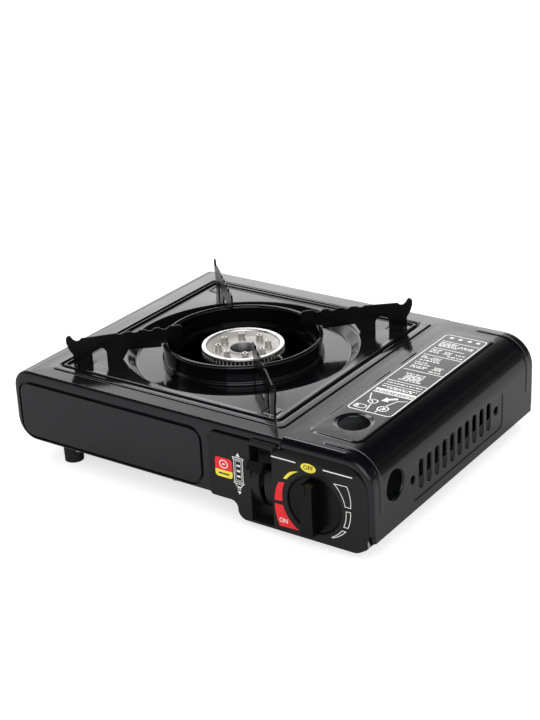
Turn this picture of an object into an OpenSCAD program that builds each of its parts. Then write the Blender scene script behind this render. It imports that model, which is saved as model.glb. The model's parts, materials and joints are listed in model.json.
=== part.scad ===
// Tabletop stove for one gas cartridge, with a lift-off drip tray and a hinged cartridge lid.
// Frame: origin at the bottom centre, +X towards the cartridge lid, +Y to the back, +Z up.

/* [Overall] */
// Depth of the pressed steel body
body_d = 262; // [250:1:330]
// Height of the top sheet above the table
top_z = 81.5; // [80:0.5:100]
// Height of the left half's underside above the table
base_z = 20; // [17:0.5:24]
// Height of the underside below the cartridge
low_z = 6; // [5:0.5:8]
// Thickness of the pressed sheet
sheet_t = 1; // [0.8:0.1:1.3]
// Radius of the body's upper left edge
top_corner_r = 16; // [10:1:22]
// Radius of the body's lower left edge
low_corner_r = 18; // [12:1:24]
// Radius of the front and back top edges
edge_r = 4; // [2:0.5:6]

/* [Drip tray] */
// Width and depth of the square drip tray
tray_w = 215; // [205:1:225]
// Sheet between the left wall and the tray
left_margin = 33; // [28:1:50]
// Sheet between the tray and the lid seam
seam_margin = 18.1; // [16:0.5:30]
// Corner radius of the tray
tray_corner_r = 9; // [5:0.5:14]
// Radius of the round dish
dish_r = 98.3; // [94:0.1:100]
// Depth of the dish floor below the tray's border
dish_depth = 8.5; // [6:0.5:10]
// Radius of the hole round the burner
tray_hole_r = 56; // [50:0.5:60]
// Height of the raised rim round the tray
tray_rim_h = 1.6; // [1:0.1:3]

/* [Wind ring and supports] */
// Outer radius of the wind ring
ring_r = 67.5; // [64:0.5:72]
// Height of the wind ring's rim above the tray's border
ring_h = 10.5; // [8:0.5:12]
// Radius of the ring's rolled rim
ring_roll_r = 3; // [2:0.5:4]
// Thickness of a pan support
arm_t = 1.5; // [1:0.1:2.5]
// Height of a support's tip above the tray's border
arm_tip_h = 26.2; // [24:0.1:32]
// Notches along the top of a support
arm_notches = 4; // [2:1:5]

/* [Burner] */
// Outer radius of the burner head
burner_r = 35; // [30:0.5:40]
// Flame slots round the head
flame_slots = 40; // [24:1:48]
// Width of a flame slot
flame_slot_w = 1.3; // [0.8:0.1:1.8]
// Posts inside the head's dish
burner_posts = 10; // [6:1:12]
// Outer radius of the mixing tube
mix_r = 9; // [7:0.5:10]
// Height of the gas axis above the table
gas_z = 37; // [36:0.5:38]

/* [Cartridge bay] */
// Width of the lid from its seam to the right wall
lid_w = 78.9; // [78:0.1:90]
// Radius of the lid's upper edge
lid_corner_r = 26; // [20:1:30]
// Radius of the gas cartridge
cartridge_r = 33.75; // [33:0.25:34]
// Length of the gas cartridge
cartridge_l = 185; // [180:1:190]
// Radius of the inlet for the cartridge's valve
inlet_r = 5; // [4:0.1:6]
// Depth of the inlet
inlet_l = 8; // [6:0.5:10]
// Height of the lid's hinge above the table
hinge_z = 14; // [13:0.5:16]
// Height of the lower edge of the lid's side above the table
lid_low_z = 14.5; // [14:0.5:17]
// Height of the lid's top above the body's top
lid_rise = 0.8; // [0:0.1:1.2]
// Radius of the hinge pins
hinge_pin_r = 2; // [1.5:0.1:2.5]
// Radius of the round window in the lid
window_r = 12; // [8:0.5:14]
// Slots in the lid's side
side_slots = 10; // [6:1:12]
// Width of a slot in the lid's side
side_slot_w = 6.2; // [4:0.2:7]

/* [Controls] */
// Thickness of the control panel in front of the body
panel_t = 3; // [2.5:0.1:4]
// Reach of the knob's grip in front of the panel
grip_reach = 11; // [8:0.5:14]
// Radius of the knob's disc
knob_r = 22.2; // [18:0.1:23]
// Width of the knob's grip bar
grip_w = 10.5; // [6:0.5:12]
// Radius of the valve spindle
spindle_r = 4; // [3:0.1:5]
// Height of the knob's axis above the table
knob_z = 36; // [34:0.5:37]
// Radius of the round guard behind the lever's tab
guard_r = 30; // [28:0.5:32]
// Width of the lever's recess
recess_w = 20; // [18:0.5:22]
// Width of the lever's tab
tab_w = 14; // [10:0.5:16]
// Angle of the lever above the level when it is unlocked
lever_up = 27; // [24:0.5:28]
// Length of the crank that moves the slider
crank_r = 12; // [10:0.5:12.5]

/* [Fits] */
// Radial clearance of a shaft in its hole
fit_gap = 0.06; // [0.03:0.01:0.09]
// Gap between parts that move past each other
move_gap = 0.6; // [0.4:0.1:0.8]
// Gap under a part that is lifted off
seat_gap = 0.3; // [0.2:0.05:0.4]
// Radius of a screw's shank
screw_r = 1.6; // [1.4:0.1:1.8]

/* [Hidden] */
$fn = 48;
eps = 0.01;

// Front to back: the grip reaches as far forward as the back wall reaches back
body_y0 = (panel_t + grip_reach - body_d) / 2;
body_y1 = body_y0 + body_d;
mid_y = (body_y0 + body_y1) / 2;
panel_y = body_y0 - panel_t;
grip_y = panel_y - grip_reach;

// Side to side
body_w = left_margin + tray_w + seam_margin + lid_w;
left_x = -body_w / 2;
right_x = body_w / 2;
tray_x = left_x + left_margin + tray_w / 2;
seam_x = right_x - lid_w;
wall_x = seam_x;
knob_x = seam_x + 29.4;
cart_x = seam_x + 38.9;
cart_z = low_z + 37.5;
hinge_x = right_x - 8;

// Front wall behind the lid's front lip, and what stands on it
inner_y0 = body_y0 + sheet_t + move_gap;
inner_y1 = body_y1 - sheet_t - move_gap;
room_y0 = inner_y0 + sheet_t + 0.4;
room_y1 = inner_y1 - sheet_t - 0.4;
pan_z = base_z + sheet_t;
low_pan_z = low_z + sheet_t;
pan_step_x = seam_x - 36;
pan_edge_x = hinge_x - 12;
lip_w = 9;

// Control panel
panel_left_x = seam_x - 65.5;
panel_right_x = right_x - 5.1;
panel_top_z = top_z - 7;
panel_low_z = low_z;
panel_bevel_x = 10;
panel_bevel_z = 5;
panel_corner_r = lid_corner_r - 6;
recess_x = seam_x - 17.2;
recess_z0 = low_z + 2;
recess_z1 = panel_top_z - 2.5;
recess_depth = 10;
recess_wall = 1.5;
slot_w = 5;

// Lever and slider
guard_up = 25;
lever_y = panel_y + guard_r;
lever_z = (recess_z0 + recess_z1) / 2;
lever_tab_r = guard_r + 1.5;
lever_tab_reach = 7.5;
lever_tab_h = 7.5;
lever_tab_x1 = recess_x + 4.4;
lever_neck_w = 3;
lever_over_r = (guard_r + move_gap) / cos(lever_up + 8);
lever_pin_r = 2;
crank_pin_r = 1.5;
slider_x = seam_x - 7.2;
slider_z = lever_z + crank_r * cos(lever_up);
slider_h = 9;
slider_stroke = 2 * crank_r * sin(lever_up);

// Tray levels
tray_z = top_z - 0.5;
dish_floor_z = tray_z - dish_depth;
ring_top_z = tray_z + ring_h;
ledge_w = 4.5;
tray_gap = 0.8;
lid_top_z = top_z + lid_rise;

// Burner and gas way
burner_top_z = top_z + 1.5;
burner_seat_z = burner_top_z - 17;
burner_wall = 3.5;
chamber_r = 16;
chamber_z0 = gas_z - mix_r - 3;
mix_wall = 1.2;
mix_l = 118;
injector_l = 12;
injector_pos = 122;
pipe_r = 3;

// Regulator
reg_y0 = room_y0 + 9;
reg_y1 = reg_y0 + 22;
reg_x0 = knob_x - 9;
reg_x1 = knob_x + 27;
socket_y = reg_y1 + inlet_l;
// Direction of the mixing tube, clockwise from +X: the pipe ends in the regulator's side
mix_angle = atan((mid_y - reg_y0 - 12) / (reg_x0 - tray_x));
cap_r = 17;
cap_x = knob_x + 9;
cap_y = (reg_y0 + reg_y1) / 2 + 1;
diaphragm_z = knob_z + 25.5;
diaphragm_t = 0.8;
post_r = 4.5;
post_places = [[knob_x + 25, knob_z + 19], [knob_x + 22, knob_z - 20], [knob_x - 20, knob_z + 21]];
tab_y = socket_y + cartridge_l + slider_stroke / 2;

// Electrode beside the burner
electrode_angle = -6;
electrode_pos = burner_r + 7;

// ---------- helpers ----------

module along_y(y0, y1) {
    translate([0, y1, 0]) rotate([90, 0, 0]) linear_extrude(y1 - y0) children();
}

module along_x(x0, x1) {
    translate([x0, 0, 0]) rotate([90, 0, 90]) linear_extrude(x1 - x0) children();
}

module rod_y(r, x, z, y0, y1) {
    translate([x, y1, z]) rotate([90, 0, 0]) cylinder(r = r, h = y1 - y0);
}

module rod_x(r, y, z, x0, x1) {
    translate([x0, y, z]) rotate([0, 90, 0]) cylinder(r = r, h = x1 - x0);
}

module box(x0, x1, y0, y1, z0, z1) {
    translate([x0, y0, z0]) cube([x1 - x0, y1 - y0, z1 - z0]);
}

// Rectangle from two corners, with a radius on each corner: low left, low right, high right, high left
module rounded(x0, x1, z0, z1, r) {
    difference() {
        translate([x0, z0]) square([x1 - x0, z1 - z0]);
        for (c = [[x0, z0, 1, 1, r[0]], [x1, z0, -1, 1, r[1]], [x1, z1, -1, -1, r[2]], [x0, z1, 1, -1, r[3]]])
            if (c[4] > 0)
                difference() {
                    translate([c[0] - (c[2] > 0 ? 1 : c[4]), c[1] - (c[3] > 0 ? 1 : c[4])])
                        square([c[4] + 1, c[4] + 1]);
                    translate([c[0] + c[2] * c[4], c[1] + c[3] * c[4]]) circle(r = c[4]);
                }
    }
}

module square_frame(w, t, r) {
    difference() {
        rounded(-w / 2, w / 2, -w / 2, w / 2, [r, r, r, r]);
        rounded(-w / 2 + t, w / 2 - t, -w / 2 + t, w / 2 - t, [r - t, r - t, r - t, r - t]);
    }
}

module screw(head_r = 3.1, head_h = 2, length = 6) {
    cylinder(r = head_r, h = head_h);
    translate([0, 0, head_h - eps]) cylinder(r = screw_r, h = length + eps);
}

module on_mix_axis() {
    translate([tray_x, mid_y, gas_z]) rotate([0, 0, -mix_angle]) rotate([0, 90, 0]) children();
}

module on_burner() {
    translate([tray_x, mid_y, 0]) children();
}

// ---------- body ----------

module left_outline(inset) {
    rounded(left_x + inset, seam_x - move_gap, base_z + inset, top_z - inset,
        [low_corner_r - inset, 0, 0, top_corner_r - inset]);
}

module side_outline(inset, top) {
    rounded(body_y0 + inset, body_y1 - inset, -5, top - inset, [0, 0, edge_r - inset, edge_r - inset]);
}

module left_block(inset) {
    intersection() {
        along_y(body_y0 + inset, body_y1 - inset) left_outline(inset);
        along_x(left_x, seam_x) side_outline(inset, top_z);
    }
}

module lid_wall_outline() {
    rounded(seam_x - sheet_t, panel_right_x, low_z, top_z - sheet_t - move_gap - 1.4,
        [0, 8, panel_corner_r + 4, 0]);
}

module low_left_block(y0, y1) {
    box(pan_step_x, seam_x - sheet_t, y0, y1, low_z, base_z + sheet_t);
}

base_screw_places = [
    [left_x + 60, body_y0 + 6, base_z], [tray_x + 20, body_y0 + 6, base_z],
    [left_x + 60, body_y1 - 6, base_z], [tray_x + 20, body_y1 - 6, base_z],
    [seam_x + 12, inner_y0 + 6, low_z], [seam_x + 36, inner_y0 + 6, low_z],
    [seam_x + 12, inner_y1 - 6, low_z], [seam_x + 36, inner_y1 - 6, low_z]
];

module top_shell() {
    color("#1b1b1d") difference() {
        union() {
            difference() {
                left_block(0);
                left_block(sheet_t);
                // open to the cartridge bay, and open below but for a lip
                box(seam_x - 4, seam_x + 1, body_y0 + sheet_t, body_y1 - sheet_t, -1, top_z - sheet_t);
                box(left_x + low_corner_r + lip_w, seam_x, body_y0 + lip_w, body_y1 - lip_w,
                    base_z - 1, base_z + sheet_t + 1);
                box(pan_step_x, seam_x, body_y0 + sheet_t, body_y1 - sheet_t, base_z - 1, base_z + 2);
                translate([tray_x, mid_y, top_z - sheet_t - 1])
                    linear_extrude(sheet_t + 2)
                        square(tray_w + 2 * tray_gap, center = true);
            }
            // recess for the tray: a wall and a ledge
            on_burner() translate([0, 0, tray_z - sheet_t - seat_gap - sheet_t])
                linear_extrude(top_z - tray_z + sheet_t + seat_gap + sheet_t)
                    square_frame(tray_w + 2 * (tray_gap + sheet_t), sheet_t, tray_corner_r + sheet_t);
            on_burner() translate([0, 0, tray_z - sheet_t - seat_gap - sheet_t])
                linear_extrude(sheet_t)
                    square_frame(tray_w + 2 * tray_gap + eps, ledge_w, tray_corner_r);
            // corners of the opening
            on_burner() translate([0, 0, top_z - sheet_t]) linear_extrude(sheet_t)
                difference() {
                    square(tray_w + 2 * tray_gap + eps, center = true);
                    square_frame_fill();
                }
            // raised bead round the recess
            on_burner() translate([0, 0, top_z - eps]) linear_extrude(0.8)
                square_frame(tray_w + 2 * (tray_gap + 4), 3, tray_corner_r + 4);
            // pressed field on the front wall
            along_y(body_y0 - 0.8, body_y0 + eps)
                rounded(left_x + 9.5, panel_left_x - 9.6, base_z + 2.7, top_z - 8.5, [15, 11, 11, 12]);
            front_and_back_walls();
        }
        for (p = post_places) rod_y(screw_r + fit_gap, p[0], p[1], inner_y0 - 1, inner_y0 + sheet_t + 1);
        rod_y(knob_r + 2, knob_x, knob_z, inner_y0 - 1, inner_y0 + sheet_t + 1);
        box(recess_x - recess_w / 2 - recess_wall - 0.4, recess_x + recess_w / 2 + recess_wall + 0.4,
            body_y0 - 1, inner_y0 + sheet_t + 1, low_z - 1, recess_z1 + recess_wall + 0.4);
        for (y = [inner_y0, inner_y1 - sheet_t])
            rod_y(hinge_pin_r + fit_gap, hinge_x, hinge_z, y - 1, y + sheet_t + 1);
        for (p = base_screw_places) translate([p[0], p[1], p[2] - 1]) cylinder(r = screw_r + fit_gap, h = 4);
    }
}

module square_frame_fill() {
    w = tray_w + 2 * tray_gap;
    r = tray_corner_r;
    rounded(-w / 2, w / 2, -w / 2, w / 2, [r, r, r, r]);
}

// The front and back walls carry on behind the lid, set in by one sheet
module front_and_back_walls() {
    low_left_block(body_y0, body_y0 + sheet_t);
    low_left_block(body_y1 - sheet_t, body_y1);
    along_y(inner_y0, inner_y0 + sheet_t) lid_wall_outline();
    along_y(inner_y1 - sheet_t, inner_y1) lid_wall_outline();
    box(seam_x - 2 * sheet_t, seam_x - sheet_t + eps, body_y0 + eps, inner_y0 + sheet_t, low_z,
        top_z - edge_r);
    box(seam_x - 2 * sheet_t, seam_x - sheet_t + eps, inner_y1 - sheet_t, body_y1 - eps, low_z,
        top_z - edge_r);
    box(seam_x - sheet_t, pan_edge_x, inner_y0, inner_y0 + lip_w + 1, low_z, low_z + sheet_t);
    box(seam_x - sheet_t, pan_edge_x, inner_y1 - lip_w - 1, inner_y1, low_z, low_z + sheet_t);
}

foot_places = [
    [left_x + 41.5, body_y0 + 19, pan_z], [left_x + 41.5, body_y1 - 19, pan_z],
    [pan_edge_x - 13, room_y0 + 19, low_pan_z], [pan_edge_x - 13, room_y1 - 19, low_pan_z]
];

module base_pan() {
    color("#77797c") difference() {
        union() {
            box(left_x + low_corner_r, pan_step_x + sheet_t, body_y0 + 1.4, body_y1 - 1.4,
                pan_z, pan_z + sheet_t);
            for (y = [body_y0 + 1.4, body_y1 - 1.4 - sheet_t])
                box(left_x + low_corner_r, pan_step_x, y, y + sheet_t, pan_z, pan_z + 10);
            box(pan_step_x, pan_step_x + sheet_t, room_y0, room_y1, low_pan_z, pan_z + sheet_t);
            box(pan_step_x, pan_edge_x, room_y0, room_y1, low_pan_z, low_pan_z + sheet_t);
            box(pan_edge_x - sheet_t, pan_edge_x, room_y0, room_y1, low_pan_z, low_pan_z + 12);
            // stiffening rib under the burner
            box(tray_x - 50, tray_x + 50, mid_y + 40, mid_y + 46, pan_z + sheet_t - eps, pan_z + sheet_t + 1.5);
        }
        for (p = concat(base_screw_places, foot_places))
            translate([p[0], p[1], p[2] - 1]) cylinder(r = screw_r + fit_gap, h = 6);
        // notch for the lever's recess
        box(recess_x - recess_w / 2 - recess_wall - 0.4, recess_x + recess_w / 2 + recess_wall + 0.4,
            room_y0 - 1, panel_y + recess_depth + recess_wall + 0.4, low_pan_z - 1, low_pan_z + 3);
        // air holes under the burner
        for (i = [-3 : 3]) for (j = [-1 : 1])
            translate([tray_x + 14 * i, mid_y - 50 + 14 * j, pan_z - 1]) cylinder(r = 3.5, h = 4);
    }
}

module bay_wall() {
    color("#8e9194") difference() {
        union() {
            box(wall_x, wall_x + sheet_t, room_y0 + 0.6, room_y1 - 0.6, low_pan_z + sheet_t, top_z - 4);
            box(wall_x - 8, wall_x + eps, room_y0 + 8, room_y1 - 8,
                low_pan_z + sheet_t, low_pan_z + 2 * sheet_t);
        }
        // way for the slider's tab, the gas pipe and the ignition lead
        box(wall_x - 1, wall_x + 2, tab_y - slider_stroke - 4, tab_y + 5, slider_z - slider_h / 2 - 1,
            slider_z + slider_h / 2 + 1);
        on_mix_axis() cylinder(r = pipe_r + 1, h = 300);
        rod_x(2.5, lead_y, lead_z, wall_x - 1, wall_x + 2);
        // air slots
        for (i = [0 : 5])
            box(wall_x - 1, wall_x + 2, mid_y - 30 + 18 * i, mid_y - 20 + 18 * i, top_z - 16, top_z - 12);
    }
}

// ---------- control panel ----------

module panel_outline() {
    difference() {
        union() {
            rounded(panel_left_x, recess_x, base_z + 0.5, panel_top_z, [3, 0, 0, 4]);
            rounded(recess_x - recess_w / 2, panel_right_x, panel_low_z, panel_top_z,
                [0, 10, panel_corner_r, 0]);
            rounded(recess_x - recess_w / 2 - 13, recess_x, panel_low_z, base_z + 1, [8, 0, 0, 0]);
            translate([recess_x - recess_w / 2 - 19, base_z - 5.5]) square([7, 6.5]);
        }
        translate([recess_x - recess_w / 2 - 19, base_z - 5.5]) circle(r = 6);
    }
}

module lever_guard() {
    difference() {
        rod_x(guard_r, lever_y, lever_z, recess_x - recess_w / 2 - eps, recess_x + recess_w / 2 + eps);
        rod_x(guard_r - 1.8, lever_y, lever_z, recess_x - recess_w, recess_x + recess_w);
        box(recess_x - recess_w, recess_x + recess_w, panel_y + recess_depth + recess_wall,
            lever_y + guard_r + 1, 0, top_z);
        box(recess_x - slot_w / 2, recess_x + slot_w / 2, panel_y - 1, lever_y,
            lever_z - guard_r * sin(lever_up) - 6, lever_z + guard_r * sin(lever_up) + 6);
        // the lever's neck rests in the open cavity above the guard
        box(recess_x - recess_w, recess_x + recess_w, panel_y - 1, lever_y,
            lever_z + guard_r * sin(guard_up), top_z);
    }
}

// Sloping right and top edges of the panel's front
module panel_bevels() {
    linear_extrude(top_z) polygon([
        [panel_right_x - panel_bevel_x, panel_y], [panel_right_x + 1, inner_y0 - 0.8],
        [panel_right_x + 1, panel_y - 1], [panel_right_x - panel_bevel_x, panel_y - 1]
    ]);
    along_x(recess_x + recess_w / 2 + recess_wall, right_x) polygon([
        [panel_y, panel_top_z - panel_bevel_z], [inner_y0 - 1.5, panel_top_z + eps],
        [panel_y - 1, panel_top_z + eps], [panel_y - 1, panel_top_z - panel_bevel_z]
    ]);
}

module control_panel() {
    recess_x0 = recess_x - recess_w / 2;
    recess_x1 = recess_x + recess_w / 2;
    back_y = panel_y + recess_depth;
    half_chord = sqrt(pow(guard_r, 2) - pow(lever_y - back_y, 2));
    color("#232323") union() {
        difference() {
            union() {
                along_y(panel_y, body_y0 - 0.82) panel_outline();
                along_y(panel_y, inner_y0) intersection() {
                    panel_outline();
                    translate([seam_x + 1.5, 0]) square([body_w, top_z]);
                }
                box(recess_x0 - recess_wall, recess_x1 + recess_wall, panel_y + 1, back_y + recess_wall,
                    recess_z0 - recess_wall, recess_z1 + recess_wall);
            }
            panel_bevels();
            box(recess_x0, recess_x1, panel_y - 1, back_y + recess_wall + 1, recess_z0, recess_z1);
            rod_y(knob_r + move_gap, knob_x, knob_z, panel_y - 1, inner_y0 + 1);
            for (p = post_places) rod_y(3.6, p[0], p[1], inner_y0 - 2.4, inner_y0 + 1);
            rod_y(hinge_pin_r + 2, hinge_x, hinge_z, inner_y0 - 1.6, inner_y0 + 1);
        }
        // the recess is closed behind, above and below the round guard
        box(recess_x0 - eps, recess_x1 + eps, back_y, back_y + recess_wall, recess_z0 - eps,
            lever_z - half_chord + 1);
        box(recess_x0 - eps, recess_x1 + eps, back_y, back_y + recess_wall, lever_z + half_chord - 1,
            recess_z1 + eps);
        lever_guard();
    }
}

// ---------- cartridge bay ----------

cradle_half = 17;
rail_top_z = cart_z - sqrt(pow(cartridge_r + 0.5, 2) - pow(cradle_half, 2));

module cartridge_cradle() {
    y0 = socket_y + 20;
    y1 = tab_y - slider_stroke - 12;
    floor_z = low_pan_z + sheet_t;
    color("#8e9194") {
        box(cart_x - cradle_half, cart_x + cradle_half, y0, y1, floor_z, floor_z + sheet_t);
        for (s = [-1, 1])
            box(cart_x + s * cradle_half - sheet_t * (s + 1) / 2,
                cart_x + s * cradle_half - sheet_t * (s - 1) / 2, y0, y1, floor_z, rail_top_z);
    }
}

collar_r = 21;

module collar_guide() {
    y0 = socket_y + 3;
    floor_z = low_pan_z + sheet_t;
    color("#a9abad") {
        difference() {
            box(cart_x - 27, cart_x + 18.4, y0, y0 + 1.5, floor_z, cart_z - 4);
            rod_y(collar_r, cart_x, cart_z, y0 - 1, y0 + 3);
        }
        box(cart_x - 27, cart_x + 18.4, y0, y0 + 10, floor_z, floor_z + 1);
    }
}

module regulator_body() {
    color("#b9bcbe") difference() {
        union() {
            box(reg_x0, reg_x1, reg_y0 + 6, reg_y1, knob_z - 6.5, knob_z + 21);
            rod_y(13, knob_x, knob_z, reg_y0 + 3, reg_y1 - 1);
            rod_y(13, cart_x, cart_z, reg_y1 - eps, socket_y);
            translate([cap_x, cap_y, diaphragm_z - 7]) cylinder(r = cap_r, h = 7);
            for (p = post_places) rod_y(post_r, p[0], p[1], room_y0 - 0.4, reg_y1 - 4);
            box(reg_x1 - 6, post_places[1][0] + 2, reg_y0 + 10, reg_y1 - 4, post_places[1][1], knob_z);
            box(post_places[2][0], reg_x0 + 5, reg_y0 + 10, reg_y1 - 4, knob_z + 12, post_places[2][1] + 3);
            gas_outlet();
        }
        rod_y(spindle_r + fit_gap, knob_x, knob_z, room_y0, reg_y0 + 18);
        rod_y(inlet_r, cart_x, cart_z, reg_y1, socket_y + 1);
        rod_y(inlet_r - 1, cart_x, cart_z, reg_y1 - 2, reg_y1 + 1);
        for (p = post_places) rod_y(screw_r + fit_gap, p[0], p[1], room_y0 - 1, room_y0 + 9);
        on_mix_axis() translate([0, 0, pipe_end - 24]) cylinder(r = pipe_r + fit_gap, h = 24);
    }
}

// Distance along the gas axis from the burner to the end of the pipe inside the regulator
pipe_end = (reg_x0 + 3 - tray_x) / cos(mix_angle);

module gas_outlet() {
    on_mix_axis() translate([0, 0, pipe_end - 8]) cylinder(r = 5.5, h = 14);
}

module regulator_diaphragm() {
    color("#3a2f2a") translate([cap_x, cap_y, diaphragm_z]) cylinder(r = cap_r, h = diaphragm_t);
}

module regulator_cover() {
    z0 = diaphragm_z + diaphragm_t;
    color("#c4c6c8") difference() {
        union() {
            translate([cap_x, cap_y, z0]) cylinder(r = cap_r, h = 2.5);
            translate([cap_x, cap_y, z0]) cylinder(r = 11, h = 8);
        }
        translate([cap_x, cap_y, z0 - 1]) cylinder(r = 9, h = 7.5);
    }
}

module regulator_spring() {
    z0 = diaphragm_z + diaphragm_t;
    color("#8b8f93") translate([cap_x, cap_y, z0]) difference() {
        cylinder(r = 7, h = 6.5);
        translate([0, 0, -1]) cylinder(r = 5.8, h = 9);
    }
}

module inlet_seal() {
    color("#111111") difference() {
        rod_y(inlet_r - 1.05, cart_x, cart_z, reg_y1 - 2, reg_y1 - 0.4);
        rod_y(1.6, cart_x, cart_z, reg_y1 - 3, reg_y1 + 1);
    }
}

module regulator_screws() {
    color("#9a9da0") for (p = post_places)
        translate([p[0], inner_y0 - 2, p[1]]) rotate([-90, 0, 0]) screw(length = 8);
}

// ---------- ignition ----------

case_x0 = wall_x + 2.4;
case_x1 = case_x0 + 9;
case_y0 = room_y0 + 12;
case_z0 = knob_z - 12;
case_z1 = knob_z + 6;
striker_r = 2;
striker_stroke = 2.5;
cam_y0 = room_y0 + 1.2;
cam_y1 = cam_y0 + 5;
cam_r = 7;
lead_r = 1.1;
lead_y = case_y0 + 10.5;
lead_z = case_z0 + 4;

module igniter_case() {
    y = (cam_y0 + cam_y1) / 2;
    color("#2b2b2b") difference() {
        union() {
            box(case_x0, case_x1, case_y0 - 10.6, case_y0 + 8, case_z0, case_z1);
            box(wall_x + sheet_t, case_x0 + 1, case_y0 - 5, case_y0 + 5, case_z0 + 3, case_z0 + 12);
        }
        rod_x(striker_r + fit_gap, y, knob_z, case_x0 + 2, case_x1 + 1);
    }
}

module igniter_striker() {
    y = (cam_y0 + cam_y1) / 2;
    color("#d8d4c8") {
        rod_x(striker_r, y, knob_z, case_x0 + 2 + striker_stroke + 0.4, knob_x - cam_r - 1.3);
    }
}

module electrode_place() {
    on_burner() rotate([0, 0, electrode_angle]) translate([electrode_pos, 0, 0]) children();
}

insulator_z0 = base_z + 14;
insulator_z1 = dish_floor_z - 2;
insulator_r = 2.4;
clip_z0 = insulator_z1 - 20;
clip_t = 1.2;

// The lead runs level from the igniter, along the base and up to the insulator
module ignition_lead() {
    ex = tray_x + electrode_pos * cos(electrode_angle);
    ey = mid_y + electrode_pos * sin(electrode_angle);
    start = [case_x0 + 4, case_y0 + 8, lead_z];
    route = [start, [start[0], lead_y, lead_z], [wall_x - 7, lead_y, lead_z],
        [wall_x - 7, ey, lead_z], [ex, ey, lead_z], [ex, ey, insulator_z0]];
    color("#d9d3c2") {
        for (i = [0 : len(route) - 2]) {
            d = route[i + 1] - route[i];
            translate(route[i]) rotate([0, acos(d[2] / norm(d)), atan2(d[1], d[0])])
                cylinder(r = lead_r, h = norm(d), $fn = 16);
        }
        for (i = [1 : len(route) - 2]) translate(route[i]) sphere(r = lead_r + 0.15, $fn = 16);
    }
}

module electrode_insulator() {
    color("#ece7dc") electrode_place() difference() {
        union() {
            translate([0, 0, insulator_z0]) cylinder(r = insulator_r, h = insulator_z1 - insulator_z0);
            translate([0, 0, clip_z0 + clip_t]) cylinder(r = insulator_r + 1, h = 3);
        }
        translate([0, 0, insulator_z1 - 12]) cylinder(r = 0.8 + fit_gap, h = 13);
    }
}

module electrode_rod() {
    tip_z = burner_top_z - 3;
    color("#c8cacc") electrode_place() union() {
        translate([0, 0, insulator_z1 - 12]) cylinder(r = 0.8, h = tip_z - insulator_z1 + 12);
        translate([0, 0, tip_z]) sphere(r = 0.8);
        translate([0, 0, tip_z]) rotate([0, -70, 0]) cylinder(r = 0.8, h = 4);
    }
}

// The clip reaches from the burner body's cone to just past the insulator
module electrode_clip() {
    cone_z0 = gas_z + mix_r;
    cone_rise = (clip_z0 + clip_t - cone_z0) / (burner_seat_z - 5 - cone_z0);
    reach = electrode_pos - (chamber_r + 1.5 + (burner_r - 8.5 - chamber_r) * cone_rise) - 0.3;
    color("#a9abad") electrode_place() difference() {
        translate([-reach, -5, clip_z0]) cube([reach + 5, 10, clip_t]);
        translate([0, 0, clip_z0 - 1]) cylinder(r = insulator_r + fit_gap, h = 4);
    }
}

// ---------- gas way ----------

module gas_pipe() {
    color("#c9a64a") on_mix_axis() difference() {
        translate([0, 0, injector_pos + injector_l])
            cylinder(r = pipe_r, h = pipe_end - injector_pos - injector_l);
        translate([0, 0, injector_pos]) cylinder(r = pipe_r - 0.8, h = 200);
    }
}

module injector() {
    color("#c9a64a") on_mix_axis() difference() {
        union() {
            translate([0, 0, injector_pos - 4]) cylinder(r1 = 1.6, r2 = 3, h = 4 + eps);
            translate([0, 0, injector_pos]) cylinder(r = 3.5, h = injector_l);
            translate([0, 0, injector_pos + 5]) cylinder(r = 6, h = 4, $fn = 6);
        }
        translate([0, 0, injector_pos - 5]) cylinder(r = 0.5, h = injector_l + 6);
    }
}

module injector_bracket() {
    z0 = low_pan_z + sheet_t;
    color("#a9abad") on_mix_axis() difference() {
        union() {
            translate([-9, -9, injector_pos + 2.4]) cube([gas_z - z0 + 9, 18, 2.6]);
            translate([gas_z - z0 - 1.2, -9, injector_pos + 2.4]) cube([1.2, 18, 12]);
        }
        translate([0, 0, injector_pos]) cylinder(r = 3.5 + fit_gap, h = injector_l);
    }
}

module mixing_tube() {
    flare_l = 14;
    color("#b4b6b8") on_mix_axis() difference() {
        union() {
            translate([0, 0, chamber_r - 2]) cylinder(r = mix_r, h = mix_l - chamber_r + 2);
            translate([0, 0, mix_l - flare_l]) cylinder(r1 = mix_r, r2 = mix_r + 1, h = flare_l);
        }
        translate([0, 0, chamber_r - 3]) cylinder(r = mix_r - mix_wall, h = mix_l);
    }
}

module burner_body() {
    color("#a9abad") difference() {
        union() {
            on_burner() rotate_extrude() polygon([
                [0, chamber_z0], [chamber_r, chamber_z0], [chamber_r + 1.5, gas_z + mix_r],
                [burner_r - 7, burner_seat_z - 5], [burner_r - 3, burner_seat_z], [0, burner_seat_z]
            ]);
            on_mix_axis() cylinder(r = mix_r + 2.5, h = chamber_r + 8);
        }
        on_burner() rotate_extrude() polygon([
            [0, gas_z - mix_r - 1], [chamber_r - 3, gas_z - mix_r - 1], [chamber_r - 3, gas_z + mix_r],
            [burner_r - 9, burner_seat_z - 3], [burner_r - 9, burner_seat_z + 1], [0, burner_seat_z + 1]
        ]);
        on_mix_axis() cylinder(r = mix_r + fit_gap, h = chamber_r + 9);
    }
}

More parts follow.
